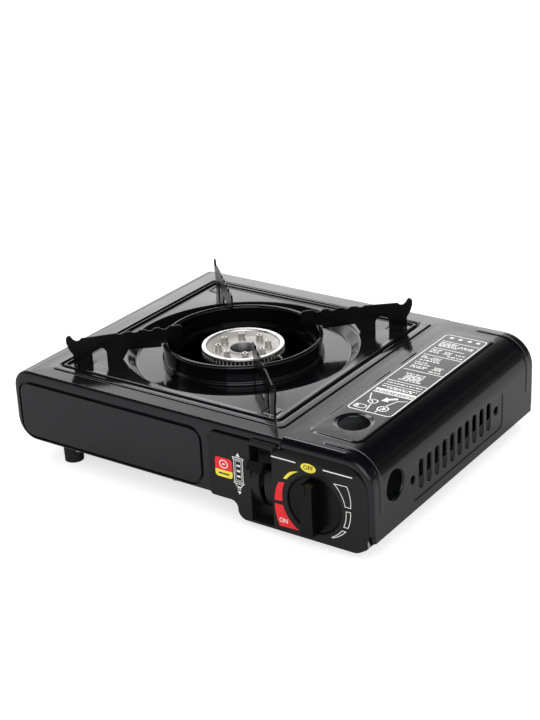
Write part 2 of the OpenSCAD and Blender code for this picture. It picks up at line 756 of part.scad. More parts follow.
module burner_head() {
    post_ring_r = burner_r - 12;
    floor_z = burner_top_z - 8.5;
    centre_r = 11;
    color("#c3c5c7") on_burner() difference() {
        union() {
            rotate_extrude() polygon([
                [centre_r, burner_seat_z], [burner_r - 1.5, burner_seat_z], [burner_r, burner_seat_z + 2],
                [burner_r, burner_top_z - 1], [burner_r - 1, burner_top_z],
                [burner_r - burner_wall, burner_top_z],
                [burner_r - burner_wall - 6, floor_z], [centre_r + 2.5, floor_z], [centre_r + 1.5, floor_z + 2],
                [centre_r, floor_z + 2]
            ]);
            for (i = [0 : burner_posts - 1]) rotate([0, 0, 360 * (i + 0.5) / burner_posts])
                translate([post_ring_r, 0, floor_z - 1]) cylinder(r1 = 4, r2 = 2.8, h = 6.5);
        }
        for (i = [0 : burner_posts - 1]) rotate([0, 0, 360 * (i + 0.5) / burner_posts])
            translate([post_ring_r, 0, floor_z]) cylinder(r = 1.3, h = 8);
        for (i = [0 : flame_slots - 1]) rotate([0, 0, 360 * i / flame_slots])
            translate([burner_r - 4, -flame_slot_w / 2, burner_seat_z + 4])
                cube([6, flame_slot_w, burner_top_z - burner_seat_z - 8]);
    }
}

// A pressed strip across the mixing tube, raised under the burner
module burner_bracket() {
    z0 = pan_z + sheet_t;
    color("#a9abad") on_burner() rotate([0, 0, 90 - mix_angle]) {
        box(-34, 34, -9, 9, z0, z0 + 1.2);
        box(-13, 13, -9, 9, z0 + 1, chamber_z0);
    }
}

// ---------- lock lever and slider ----------

module lever_bracket() {
    arm_y1 = lever_y + 7;
    z0 = low_pan_z + sheet_t;
    color("#a9abad") difference() {
        union() {
            for (x = [recess_x - 8, recess_x + 6.5])
                box(x, x + 1.5, lever_y - 7, arm_y1, z0, lever_z + 6);
            box(recess_x - 8, recess_x + 8, lever_y - 7, arm_y1, z0, z0 + 1.5);
        }
        rod_x(lever_pin_r + fit_gap, lever_y, lever_z, recess_x - 20, recess_x + 20);
    }
}

module lever_pin() {
    color("#c8cacc") {
        rod_x(lever_pin_r, lever_y, lever_z, recess_x - 9.2, recess_x + 9.2);
        rod_x(lever_pin_r + 1.2, lever_y, lever_z, recess_x - 9.2, recess_x - 8);
        rod_x(lever_pin_r + 1.2, lever_y, lever_z, recess_x + 8, recess_x + 9.2);
    }
}

module lever_spring() {
    color("#8b8f93") difference() {
        rod_x(lever_pin_r + 1.8, lever_y, lever_z, recess_x - 6.3, recess_x - 3.9);
        rod_x(lever_pin_r + 0.4, lever_y, lever_z, recess_x - 9, recess_x - 3);
    }
}

// Lever drawn level, then turned up to its unlocked place
module lock_lever() {
    hub_r = 5;
    crank_x1 = slider_x + sheet_t + 1.5;
    color("#1d1d1d") translate([0, lever_y, lever_z]) rotate([-lever_up, 0, 0]) difference() {
        union() {
            rod_x(hub_r, 0, 0, recess_x - 3.5, recess_x + 5.5);
            box(recess_x - lever_neck_w / 2, recess_x + lever_neck_w / 2, -lever_tab_r - 2, 0, -3.5, 3.5);
            // the back of the tab follows the guard, and clears the panel beside the recess
            difference() {
                box(lever_tab_x1 - tab_w, lever_tab_x1, -lever_tab_r - lever_tab_reach,
                    -lever_tab_r + 3, -lever_tab_h / 2, lever_tab_h / 2);
                rod_x(lever_tab_r, 0, 0, recess_x - 31, recess_x + 31);
                rod_x(lever_over_r, 0, 0, recess_x - 31, recess_x - recess_w / 2 + move_gap);
            }
        }
        rod_x(lever_pin_r + fit_gap, 0, 0, recess_x - 30, recess_x + 30);
    }
    color("#a9abad") translate([0, lever_y, lever_z]) rotate([-lever_up, 0, 0]) {
        difference() {
            box(recess_x + 3.9, recess_x + 5.5, -3.5, 3.5, 3, crank_r + 3);
            rod_x(lever_pin_r + fit_gap, 0, 0, recess_x - 30, recess_x + 30);
        }
        rod_x(crank_pin_r, 0, crank_r, recess_x + 4, crank_x1);
    }
}

module cartridge_slider() {
    y0 = lever_y + crank_r * sin(lever_up) - 6;
    slot_gap = 0.35;
    slot_y = lever_y + crank_r * sin(lever_up);
    z0 = slider_z - slider_h / 2;
    z1 = slider_z + slider_h / 2;
    color("#b9bcbe") {
        difference() {
            box(slider_x, slider_x + sheet_t, y0, tab_y + 1.5, z0, z1);
            box(slider_x - 1, slider_x + sheet_t + 1, slot_y - crank_pin_r - slot_gap,
                slot_y + crank_pin_r + slot_gap, z0 - 1, slider_z + crank_r * (1 - cos(lever_up)) + 2.2);
        }
        box(slider_x, cart_x + 10, tab_y, tab_y + 1.5, z0, z1);
    }
}

// Two guides on the bay wall carry the slider
module slider_guides() {
    y_ends = [mid_y - 40, mid_y + 60];
    color("#a9abad") for (y = y_ends) difference() {
        box(slider_x - 1.4, wall_x, y, y + 8, slider_z - slider_h / 2 - 1.4, slider_z + slider_h / 2 + 1.4);
        box(slider_x - 0.2, slider_x + sheet_t + 0.2, y - 1, y + 9, slider_z - slider_h / 2 - 0.2,
            slider_z + slider_h / 2 + 0.2);
    }
}

// ---------- feet and fasteners ----------

module foot(place) {
    height = place[2];
    translate([place[0], place[1], 0]) difference() {
        cylinder(r1 = 8, r2 = 8.5, h = height);
        translate([0, 0, -1]) cylinder(r = 3.6, h = height - 2);
        cylinder(r = screw_r + fit_gap, h = height + 1);
    }
}

module foot_front_left() { color("#161616") foot(foot_places[0]); }
module foot_rear_left() { color("#161616") foot(foot_places[1]); }
module foot_front_right() { color("#161616") foot(foot_places[2]); }
module foot_rear_right() { color("#161616") foot(foot_places[3]); }

module foot_screws() {
    color("#9a9da0") for (p = foot_places) translate([p[0], p[1], p[2] - 5]) screw(length = 7);
}

module base_screws() {
    color("#9a9da0") for (p = base_screw_places) translate([p[0], p[1], p[2] - 2]) screw(length = 5);
}

// ---------- lid ----------

ear_y0 = inner_y0 + sheet_t + 0.4;
ear_y1 = inner_y1 - sheet_t - 0.4 - 1.2;

module hinge_pins() {
    color("#c8cacc") {
        rod_y(hinge_pin_r, hinge_x, hinge_z, inner_y0, ear_y0 + 1.2 + 0.4);
        rod_y(hinge_pin_r + 1.5, hinge_x, hinge_z, inner_y0 - 1, inner_y0);
        rod_y(hinge_pin_r, hinge_x, hinge_z, ear_y1 - 0.4, inner_y1);
        rod_y(hinge_pin_r + 1.5, hinge_x, hinge_z, inner_y1, inner_y1 + 1);
    }
}

module lid_outline(inset) {
    rounded(seam_x, right_x - inset, lid_low_z, lid_top_z - inset, [0, 0, lid_corner_r - inset, 0]);
}

module lid_block(inset) {
    intersection() {
        along_y(body_y0 + inset, body_y1 - inset) lid_outline(inset);
        along_x(seam_x, right_x) side_outline(inset, lid_top_z);
    }
}

module lid_ear(y) {
    difference() {
        union() {
            rod_y(5, hinge_x, hinge_z, y, y + 1.2);
            box(hinge_x, right_x - sheet_t + eps, y, y + 1.2, lid_low_z, hinge_z + 14);
        }
        rod_y(hinge_pin_r + fit_gap, hinge_x, hinge_z, y - 1, y + 3);
    }
}

// Upright slot with round ends through the lid's side
module side_slot(y, z, h) {
    half = h / 2 - side_slot_w / 2;
    box(right_x - 5, right_x + 5, y - side_slot_w / 2, y + side_slot_w / 2, z - half, z + half);
    for (s = [-1, 1]) rod_x(side_slot_w / 2, y, z + s * half, right_x - 5, right_x + 5);
}

module cartridge_lid() {
    lip_bottom_z = hinge_z + 7;
    window_x = seam_x + 32.9;
    window_y = mid_y - body_d / 2 + 49.3;
    vent_z = lid_low_z + 26.5;
    slot_span = body_d * 0.42;
    color("#1b1b1d") {
        difference() {
            lid_block(0);
            lid_block(sheet_t);
            box(seam_x - 1, seam_x + 1, body_y0 + sheet_t, body_y1 - sheet_t, 0, lid_top_z - sheet_t);
            // front and back stay open but for a lip
            along_y(body_y0 - 1, body_y1 + 1)
                rounded(seam_x - 5, panel_right_x + move_gap, -5, panel_top_z + move_gap,
                    [0, 0, panel_corner_r + move_gap, 0]);
            // the side wall's lower corners are cut away at the hinges
            box(panel_right_x - 1, right_x + 1, body_y0 - 1, ear_y0 - eps, -1, lip_bottom_z);
            box(panel_right_x - 1, right_x + 1, ear_y1 + 1.2 + eps, body_y1 + 1, -1, lip_bottom_z);
            // window in the top
            translate([window_x, window_y, lid_top_z - 5]) cylinder(r = window_r, h = 10);
            // round hole, small holes and slots in the side
            rod_x(window_r, window_y - 17, vent_z + 9, right_x - 5, right_x + 5);
            for (s = [-1, 1]) rod_x(3.5, mid_y - 4 + s * 68, vent_z, right_x - 5, right_x + 5);
            for (i = [0 : side_slots - 1])
                side_slot(mid_y - 4 - slot_span / 2 + slot_span * i / (side_slots - 1), vent_z, 24);
        }
        // rolled edge of the window
        translate([window_x, window_y, lid_top_z - eps]) difference() {
            cylinder(r = window_r + 3, h = 0.8);
            translate([0, 0, -1]) cylinder(r = window_r, h = 3);
        }
        lid_ear(ear_y0);
        lid_ear(ear_y1);
    }
}

// ---------- knob ----------

module knob() {
    disc_y1 = inner_y0 + sheet_t;
    color("#151515") difference() {
        union() {
            rod_y(knob_r, knob_x, knob_z, panel_y + 0.6, disc_y1);
            intersection() {
                box(knob_x - grip_w / 2, knob_x + grip_w / 2, grip_y, panel_y + 1,
                    knob_z - knob_r, knob_z + knob_r);
                rod_y(knob_r - 1.2, knob_x, knob_z, grip_y, panel_y + 1);
            }
        }
        rod_y(spindle_r + fit_gap, knob_x, knob_z, panel_y + 1, disc_y1 + 1);
        // pointer groove
        box(knob_x - 0.5, knob_x + 0.5, grip_y - 1, grip_y + 0.6, knob_z + knob_r - 8, knob_z + knob_r);
    }
}

module valve_spindle() {
    color("#c9a64a") rod_y(spindle_r, knob_x, knob_z, panel_y + 1.2, reg_y0 + 17);
}

module ignition_cam() {
    color("#d8d4c8") difference() {
        union() {
            rod_y(cam_r, knob_x, knob_z, cam_y0, cam_y1);
            box(knob_x - 1.5, knob_x + 1.5, cam_y0, cam_y1, knob_z + cam_r - 1, knob_z + cam_r + 0.9);
        }
        rod_y(spindle_r + fit_gap, knob_x, knob_z, cam_y0 - 1, cam_y1 + 1);
    }
}

module spindle_clip() {
    y0 = cam_y1 + 0.4;
    color("#c8cacc") difference() {
        rod_y(spindle_r + 2, knob_x, knob_z, y0, y0 + 1);
        rod_y(spindle_r + fit_gap, knob_x, knob_z, y0 - 1, y0 + 2);
    }
}

// ---------- tray, ring and supports ----------

tenons = [[104, 6], [130, 7]];

module drip_tray() {
    border_z0 = tray_z - sheet_t;
    floor_z0 = dish_floor_z - sheet_t;
    slope_r = dish_r - 8;
    color("#1b1b1d") on_burner() difference() {
        union() {
            translate([0, 0, border_z0]) linear_extrude(sheet_t) difference() {
                rounded(-tray_w / 2, tray_w / 2, -tray_w / 2, tray_w / 2,
                    [tray_corner_r, tray_corner_r, tray_corner_r, tray_corner_r]);
                circle(r = dish_r - 0.5);
            }
            translate([0, 0, border_z0]) linear_extrude(sheet_t + tray_rim_h)
                square_frame(tray_w, 2.5, tray_corner_r);
            rotate_extrude() polygon([
                [tray_hole_r, floor_z0], [slope_r, floor_z0], [dish_r, border_z0], [dish_r, tray_z],
                [dish_r - 1, tray_z], [slope_r - 1, dish_floor_z], [tray_hole_r, dish_floor_z]
            ]);
            translate([0, 0, floor_z0]) difference() {
                cylinder(r = tray_hole_r + 1, h = sheet_t + 2);
                translate([0, 0, -1]) cylinder(r = tray_hole_r, h = sheet_t + 4);
            }
        }
        for (a = [45 : 90 : 315]) rotate([0, 0, a]) for (t = tenons)
            translate([t[0] - 0.1, -arm_t / 2 - fit_gap, border_z0 - 1])
                cube([t[1] + 0.2, arm_t + 2 * fit_gap, sheet_t + 2]);
    }
}

module wind_ring() {
    z0 = dish_floor_z;
    roll_z = ring_top_z - ring_roll_r;
    t = 0.8;
    color("#1b1b1d") on_burner() rotate_extrude() union() {
        translate([ring_r - t, z0]) square([t, roll_z - z0 + eps]);
        translate([ring_r - ring_roll_r, roll_z]) intersection() {
            difference() {
                circle(r = ring_roll_r);
                circle(r = ring_roll_r - t);
            }
            translate([-ring_roll_r, 0]) square([2 * ring_roll_r, ring_roll_r]);
        }
        translate([ring_r - 2 * ring_roll_r, roll_z - 1]) square([t, 1 + eps]);
        translate([ring_r, z0 + 4]) circle(r = 0.7);
    }
}

// Outline of a pan support: distance from the burner's axis, height above the tray's border
module support_outline() {
    tip = arm_tip_h;
    rim = ring_h + 0.2;
    leg_out = 141.5;
    hook_in = ring_r - 2 * ring_roll_r - 1.2;
    difference() {
        polygon([
            [101, 0], [97.5, 5.7], [96, 8.3], [ring_r + 1, 7.3], [ring_r + 0.6, rim], [hook_in, rim],
            [hook_in - 0.4, 9.5], [hook_in - 5, 10], [50, 16], [50, 23], [52, tip - 1.2], [60, tip - 1.2],
            [105.7, tip - 2.4], [133.6, tip - 3.3], [135.5, tip - 5], [138, tip - 5.4], [140.3, tip - 3.8],
            [142.6, tip - 0.4], [143.5, tip], [145.3, tip - 0.8], [146.3, tip - 2.5], [146.3, 20],
            [145, 15.5], [143.3, 12], [leg_out, 9.3], [leg_out, 0]
        ]);
        translate([114, -1]) square([11.8, 8]);
        translate([119.9, 7]) circle(r = 5.9);
        for (i = [0 : arm_notches - 1]) translate([65.1 + 12.2 * i, tip + 1.3]) circle(r = 4.8);
    }
}

module pan_support(angle) {
    on_burner() translate([0, 0, tray_z]) rotate([0, 0, angle]) {
        rotate([90, 0, 0]) translate([0, 0, -arm_t / 2]) linear_extrude(arm_t) support_outline();
        for (t = tenons) box(t[0], t[0] + t[1], -arm_t / 2, arm_t / 2, -sheet_t - 0.6, 1);
    }
}

module support_front_right() { color("#1f1f1f") pan_support(-45); }
module support_rear_right() { color("#1f1f1f") pan_support(45); }
module support_rear_left() { color("#1f1f1f") pan_support(135); }
module support_front_left() { color("#1f1f1f") pan_support(225); }

top_shell();
base_pan();
bay_wall();
control_panel();
cartridge_cradle();
collar_guide();
regulator_body();
regulator_diaphragm();
regulator_spring();
regulator_cover();
inlet_seal();
regulator_screws();
igniter_case();
ignition_lead();
electrode_insulator();
electrode_rod();
electrode_clip();
gas_pipe();
injector();
injector_bracket();
mixing_tube();
burner_body();
burner_head();
burner_bracket();
lever_bracket();
lever_pin();
lever_spring();
slider_guides();
foot_front_left();
foot_rear_left();
foot_front_right();
foot_rear_right();
foot_screws();
base_screws();
hinge_pins();
cartridge_lid();
knob();
valve_spindle();
ignition_cam();
spindle_clip();
igniter_striker();
lock_lever();
cartridge_slider();
drip_tray();
wind_ring();
support_front_right();
support_rear_right();
support_rear_left();
support_front_left();
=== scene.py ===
import json
import math

import bmesh
import bpy
from mathutils import Matrix, Vector
from mathutils.geometry import delaunay_2d_cdt


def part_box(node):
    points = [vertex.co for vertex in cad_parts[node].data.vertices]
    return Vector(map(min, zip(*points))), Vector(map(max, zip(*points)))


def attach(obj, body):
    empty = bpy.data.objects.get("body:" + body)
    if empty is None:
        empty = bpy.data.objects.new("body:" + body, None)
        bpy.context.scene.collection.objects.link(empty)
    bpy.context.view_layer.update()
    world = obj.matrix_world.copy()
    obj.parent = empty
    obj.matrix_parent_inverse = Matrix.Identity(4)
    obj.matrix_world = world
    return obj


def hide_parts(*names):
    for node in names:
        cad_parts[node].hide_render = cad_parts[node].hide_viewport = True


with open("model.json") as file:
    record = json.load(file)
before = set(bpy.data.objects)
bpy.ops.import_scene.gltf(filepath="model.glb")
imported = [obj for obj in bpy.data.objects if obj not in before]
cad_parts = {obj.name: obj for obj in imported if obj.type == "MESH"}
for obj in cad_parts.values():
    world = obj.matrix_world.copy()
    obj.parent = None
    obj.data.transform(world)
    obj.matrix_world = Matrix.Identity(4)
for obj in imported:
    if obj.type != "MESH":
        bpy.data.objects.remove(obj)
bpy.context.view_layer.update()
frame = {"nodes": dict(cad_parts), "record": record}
nodes = frame["nodes"]

MM = 0.001

# ---------- sizes from the frame, in millimetres ----------


def millimetres(node):
    """Lowest and highest corners of a CAD node."""
    low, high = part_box(node)
    return low / MM, high / MM


shell_low, shell_high = millimetres("top_shell")
lid_low, lid_high = millimetres("cartridge_lid")
panel_low, panel_high = millimetres("control_panel")
tray_low, tray_high = millimetres("drip_tray")
head_low, head_high = millimetres("burner_head")
knob_low, knob_high = millimetres("knob")

SHEET = 1.0  # thickness of the pressed steel
LEFT = shell_low.x
RIGHT = lid_high.x
FRONT = round(lid_low.y, 2)
BACK = round(shell_high.y, 2)
MID = (FRONT + BACK) / 2
TOP = 81.5  # flat top of the shell
BASE = 20.0  # lower edge of the shell's left part
LOW = round(shell_low.z, 2)
SEAM = lid_low.x  # where the shell meets the lid
LID_TOP = 82.3
LID_BASE = 14.5  # lower edge of the lid's side
HINGE = (RIGHT - 8, 14.0)  # x and z of the lid's axis
WINDOW = (SEAM + 32.9, MID - 81.7, 12.0)  # x, y and radius of the lid's window
TRAY_X = (tray_low.x + tray_high.x) / 2
TRAY_W = tray_high.x - tray_low.x
TRAY_Z = TOP - 0.5
DISH_Z = TRAY_Z - 8.5
KNOB_X = (knob_low.x + knob_high.x) / 2
KNOB_Z = (knob_low.z + knob_high.z) / 2
KNOB_R = (knob_high.x - knob_low.x) / 2
PANEL_Y = FRONT - 3  # front face of the control panel
PANEL_RIGHT = panel_high.x
PANEL_TOP = panel_high.z
WALL_Y = FRONT + 1.6  # front wall of the cartridge bay
RECESS_X = SEAM - 17.2  # middle of the lever's recess
RECESS_TOP = PANEL_TOP - 2.5

# ---------- materials ----------


def linear(colour):
    """Linear colour of an sRGB hex value such as 0x1b1b1d."""
    parts = [((colour >> shift) & 255) / 255 for shift in (16, 8, 0)]
    return [c / 12.92 if c <= 0.04045 else ((c + 0.055) / 1.055) ** 2.4 for c in parts] + [1]


def add(tree, kind, links=(), **settings):
    """Adds a shader node, sets its values or sockets, and links other nodes' outputs to it."""
    new = tree.nodes.new(kind)
    for name, value in settings.items():
        if hasattr(new, name):
            setattr(new, name, value)
        else:
            new.inputs[name.replace("_", " ")].default_value = value
    for source, socket in links:
        tree.links.new(source, new.inputs[socket])
    return new


def finish(name, colour, metallic, roughness, **more):
    """A material with a Principled BSDF; returns the material, its tree and that shader."""
    material = bpy.data.materials.new(name)
    material.use_nodes = True
    tree = material.node_tree
    shader = tree.nodes["Principled BSDF"]
    shader.inputs["Base Color"].default_value = linear(colour)
    shader.inputs["Metallic"].default_value = metallic
    shader.inputs["Roughness"].default_value = roughness
    for socket, value in more.items():
        shader.inputs[socket.replace("_", " ")].default_value = value
    return material, tree, shader


def bump_from(tree, shader, height, strength, depth_mm):
    """Relief of a shader from a height, depth_mm deep at full strength."""
    bump = add(tree, "ShaderNodeBump", [(height, "Height")], Strength=strength, Distance=depth_mm * MM)
    tree.links.new(bump.outputs["Normal"], shader.inputs["Normal"])


def object_noise(tree, size_mm, detail=2.0, roughness=0.5):
    """Noise whose grains are about size_mm across on the object."""
    place = add(tree, "ShaderNodeTexCoord")
    return add(tree, "ShaderNodeTexNoise", [(place.outputs["Object"], "Vector")],
               Scale=1 / (size_mm * MM), Detail=detail, Roughness=roughness)


def ramp(tree, source, low, high, low_colour, high_colour):
    """Maps a value between low and high to two colours or greys."""
    new = add(tree, "ShaderNodeValToRGB", [(source, "Fac")])
    new.color_ramp.elements[0].position = low
    new.color_ramp.elements[1].position = high
    new.color_ramp.elements[0].color = low_colour
    new.color_ramp.elements[1].color = high_colour
    return new


def vary(tree, shader, socket, source, low, high, low_colour, high_colour):
    """Lets a value between low and high choose between two colours or greys for a shader's socket."""
    shade = ramp(tree, source, low, high, low_colour, high_colour)
    tree.links.new(shade.outputs["Color"], shader.inputs[socket])


def grey(value):
    """Linear colour of a plain grey, also used for a number that a ramp gives."""
    return (value, value, value, 1)


def gloss_enamel():
    """Glossy stove enamel on pressed steel: deep black with a hard mirror gloss and faint orange peel."""
    material, tree, shader = finish("gloss_enamel", 0x09090B, 0, 0.12, IOR=1.55,
                                    Specular_Tint=(0.95, 0.95, 1, 1))
    peel = object_noise(tree, 3.5, 1.0)
    bump_from(tree, shader, peel.outputs["Fac"], 0.05, 0.25)
    haze = object_noise(tree, 30, 3.0)
    vary(tree, shader, "Roughness", haze.outputs["Fac"], 0.3, 0.75, grey(0.08), grey(0.15))
    return material


def base_enamel():
    """Thin enamel on the base pan: black with less gloss."""
    material, tree, shader = finish("base_enamel", 0x131315, 0, 0.35)
    peel = object_noise(tree, 2.5, 2.0)
    bump_from(tree, shader, peel.outputs["Fac"], 0.12, 0.3)
    return material


def matt_enamel():
    """Matt enamel on stamped steel: sooty black with a fine grain and a slight sheen on the edges."""
    material, tree, shader = finish("matt_enamel", 0x080808, 0, 0.28, Specular_IOR_Level=0.2)
    grain = object_noise(tree, 0.9, 3.0)
    bump_from(tree, shader, grain.outputs["Fac"], 0.16, 0.12)
    cloud = object_noise(tree, 14, 2.0)
    vary(tree, shader, "Base Color", cloud.outputs["Fac"], 0.3, 0.7, linear(0x050505), linear(0x0C0C0C))
    return material


def spark_eroded_plastic(name, colour, roughness, gloss):
    """ABS moulded in a spark-eroded tool: a fine pebble grain (about 0.8 mm here, so that it shows)."""
    material, tree, shader = finish(name, colour, 0, roughness, Specular_IOR_Level=gloss)
    grain = object_noise(tree, 0.8, 2.0, 0.6)
    bump_from(tree, shader, grain.outputs["Fac"], 0.22, 0.12)
    return material


def cast_aluminium(name, colour, roughness, metallic=1):
    """Pressure die-cast aluminium: pale grey skin with flow marks and small pits."""
    material, tree, shader = finish(name, colour, metallic, roughness)
    skin = object_noise(tree, 1.2, 4.0, 0.65)
    bump_from(tree, shader, skin.outputs["Fac"], 0.25, 0.15)
    flow = object_noise(tree, 8, 3.0)
    smooth, dull = grey(roughness - 0.1), grey(roughness + 0.12)
    vary(tree, shader, "Roughness", flow.outputs["Fac"], 0.3, 0.72, smooth, dull)
    return material


def rolled_zinc():
    """Galvanised sheet: cool grey with broad spangles that differ in gloss."""
    material, tree, shader = finish("rolled_zinc", 0xA6A9AC, 1, 0.36)
    place = add(tree, "ShaderNodeTexCoord")
    spangle = add(tree, "ShaderNodeTexVoronoi", [(place.outputs["Object"], "Vector")], Scale=1 / (6 * MM))
    vary(tree, shader, "Roughness", spangle.outputs["Color"], 0.1, 0.9, grey(0.28), grey(0.48))
    return material


def drawn_metal(name, colour, roughness, relief=0.08):
    """Drawn or turned metal: fine marks along the surface."""
    material, tree, shader = finish(name, colour, 1, roughness)
    marks = object_noise(tree, 0.5, 3.0, 0.7)
    bump_from(tree, shader, marks.outputs["Fac"], relief, 0.05)
    return material


def moulded_rubber():
    """Moulded rubber: dull black with a dusty grain."""
    material, tree, shader = finish("moulded_rubber", 0x141414, 0, 0.72)
    grain = object_noise(tree, 1.0, 3.0)
    bump_from(tree, shader, grain.outputs["Fac"], 0.3, 0.15)
    return material


def glazed_ceramic():
    """Glazed alumina: warm white with a soft gloss."""
    material, tree, shader = finish("glazed_ceramic", 0xE9E5DB, 0, 0.22, IOR=1.6)
    glaze = object_noise(tree, 2.0, 1.0)
    bump_from(tree, shader, glaze.outputs["Fac"], 0.06, 0.1)
    return material


def natural_nylon():
    """Unpigmented moulded nylon: milky and slightly uneven."""
    material, tree, shader = finish("natural_nylon", 0xD9D5C6, 0, 0.45, Subsurface_Weight=0.1)
    cloud = object_noise(tree, 3.0, 2.0)
    vary(tree, shader, "Base Color", cloud.outputs["Fac"], 0.3, 0.7, linear(0xD2CDBC), linear(0xDEDACD))
    return material


def silicone_sleeve():
    """Silicone insulation of the ignition lead: dull cream."""
    material, tree, shader = finish("silicone_sleeve", 0xD2CAB6, 0, 0.6)
    grain = object_noise(tree, 0.8, 2.0)
    bump_from(tree, shader, grain.outputs["Fac"], 0.15, 0.08)
    return material


def thin_film(name, colour):
    """Screen-printed ink, or painted shade in a slot or bore: a thin satin film with slightly uneven cover.
    """
    material, tree, shader = finish(name, colour, 0, 0.42)
    cover = object_noise(tree, 0.6, 2.0)
    bump_from(tree, shader, cover.outputs["Fac"], 0.1, 0.04)
    return material


ENAMEL = gloss_enamel()
BASE_ENAMEL = base_enamel()
MATT = matt_enamel()
PANEL = spark_eroded_plastic("moulded_abs", 0x121211, 0.46, 0.4)
GRIP = spark_eroded_plastic("satin_abs", 0x060606, 0.3, 0.24)
LEVER = spark_eroded_plastic("lever_abs", 0x0A0A0A, 0.38, 0.34)
CASTING = cast_aluminium("die_cast_aluminium", 0x9A9C9E, 0.42)
BURNER = cast_aluminium("blasted_aluminium", 0xD6D3CE, 0.5, 0.6)
TURNED = drawn_metal("turned_aluminium", 0xF2F1EE, 0.34, 0.03)
# painted shade: near-black film for the gaps behind the burner's teeth and for the post bores
PAINTED_SHADE = thin_film("painted_shade_film", 0x0B0B0A)
# near-black aluminium for the burner's skirt below the rim and teeth
DARK_SKIRT = cast_aluminium("dark_skirt_aluminium", 0x2E2C2A, 0.45, 0.7)
POST = cast_aluminium("machined_posts", 0xCFCDC9, 0.34)
TIP = drawn_metal("ground_steel_tip", 0xF6F6F4, 0.5)
TUBE = drawn_metal("drawn_aluminium", 0xB4B6B8, 0.3)
ZINC = rolled_zinc()
STEEL = drawn_metal("bright_steel", 0xC3C4C6, 0.25)
BRASS = drawn_metal("turned_brass", 0xB9964A, 0.28)
RUBBER = moulded_rubber()
CERAMIC = glazed_ceramic()
NYLON = natural_nylon()
SLEEVE = silicone_sleeve()
WHITE_INK = thin_film("white_ink", 0xF7F7F5)
YELLOW_INK = thin_film("yellow_ink", 0xF6E54A)
RED_INK = thin_film("red_ink", 0xF0242E)
DARK_INK = thin_film("black_ink", 0x15130C)

SLOT_FINISH = {
    "black_enamel": ENAMEL, "base_enamel": BASE_ENAMEL, "matt_black_enamel": MATT, "black_plastic": PANEL,
    "knob_plastic": GRIP, "cast_aluminium": CASTING, "burner_aluminium": BURNER, "aluminium_tube": TUBE,
    "zinc_steel": ZINC, "plain_steel": STEEL, "brass": BRASS, "rubber": RUBBER, "ceramic": CERAMIC,
    "white_plastic": NYLON, "lead_insulation": SLEEVE,
}
NODE_SLOT = {part["node"]: part["material_slot"] for part in frame["record"]["subparts"]}

for node_name, cad_node in nodes.items():
    cad_node.data.materials.clear()
    cad_node.data.materials.append(SLOT_FINISH[NODE_SLOT[node_name]])
nodes["lock_lever"].data.materials[0] = LEVER
for tip in ("electrode_rod", "electrode_clip"):
    nodes[tip].data.materials[0] = TIP

# ---------- mesh helpers ----------


def make_piece(name, points, faces, material, body, slot, replaced=(), sharp=38, thickness=0.0, bevel=0.0):
    """A mesh piece from points in millimetres, with clean shading, that rides on a body."""
    mesh = bpy.data.meshes.new(name)
    mesh.from_pydata([Vector(p) * MM for p in points], [], faces)
    mesh.validate()
    work = bmesh.new()
    work.from_mesh(mesh)
    bmesh.ops.remove_doubles(work, verts=work.verts, dist=0.012 * MM)
    bmesh.ops.dissolve_degenerate(work, edges=work.edges, dist=0.004 * MM)
    work.to_mesh(mesh)
    work.free()
    piece = bpy.data.objects.new(name, mesh)
    bpy.context.scene.collection.objects.link(piece)
    if thickness:
        solid = piece.modifiers.new("sheet", "SOLIDIFY")
        solid.thickness = thickness * MM
        solid.offset = -1
        solid.use_even_offset = True
    if bevel:
        edge = piece.modifiers.new("edges", "BEVEL")
        edge.width = bevel * MM
        edge.segments = 2
        edge.limit_method = "ANGLE"
        edge.angle_limit = math.radians(40)
    if thickness or bevel:
        settled = bpy.data.meshes.new_from_object(piece.evaluated_get(bpy.context.evaluated_depsgraph_get()))
        piece.modifiers.clear()
        piece.data = settled
    piece.data.shade_smooth()
    piece.data.set_sharp_from_angle(angle=math.radians(sharp))
    normals = piece.modifiers.new("even shading", "WEIGHTED_NORMAL")
    normals.keep_sharp = True
    piece.data.materials.clear()
    piece.data.materials.append(material)
    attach(piece, body)
    if replaced:
        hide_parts(*replaced)
    return piece


def rounded(x0, x1, y0, y1, r):
    """Rounded rectangle as centre, half sizes and corner radius."""
    return ((x0 + x1) / 2, (y0 + y1) / 2, (x1 - x0) / 2, (y1 - y0) / 2, r)


def disc(x, y, r):
    """Circle in the form of a rounded rectangle."""
    return (x, y, r, r, r)


def distance(shape, x, y):
    """Distance from a rounded rectangle's edge, negative inside."""
    cx, cy, half_w, half_h, r = shape
    dx = abs(x - cx) - half_w + r
    dy = abs(y - cy) - half_h + r
    return math.hypot(max(dx, 0), max(dy, 0)) + min(max(dx, dy), 0) - r


def ring(shape, d, step=1.6):
    """Points of a rounded rectangle grown by d."""
    cx, cy, half_w, half_h, r = shape
    half_w += d
    half_h += d
    r = min(max(r + d, 0.02), half_w, half_h)
    count = max(2, math.ceil(r * math.pi / 2 / step), 6 if r > 1.5 else 2)
    loop = []
    for quarter, (sx, sy) in enumerate(((1, 1), (-1, 1), (-1, -1), (1, -1))):
        for i in range(count + 1):
            a = (quarter + i / count) * math.pi / 2
            point = (cx + sx * (half_w - r) + r * math.cos(a), cy + sy * (half_h - r) + r * math.sin(a))
            if not loop or math.dist(point, loop[-1]) > 1e-3:
                loop.append(point)
    if math.dist(loop[0], loop[-1]) < 1e-3:
        loop.pop()
    return loop


def along(table, d):
    """Straight-line reading of (distance, height) pairs, flat past both ends."""
    if d <= table[0][0]:
        return table[0][1]
    for (d0, h0), (d1, h1) in zip(table, table[1:]):
        if d <= d1:
            return h0 + (h1 - h0) * (d - d0) / (d1 - d0)
    return table[-1][1]


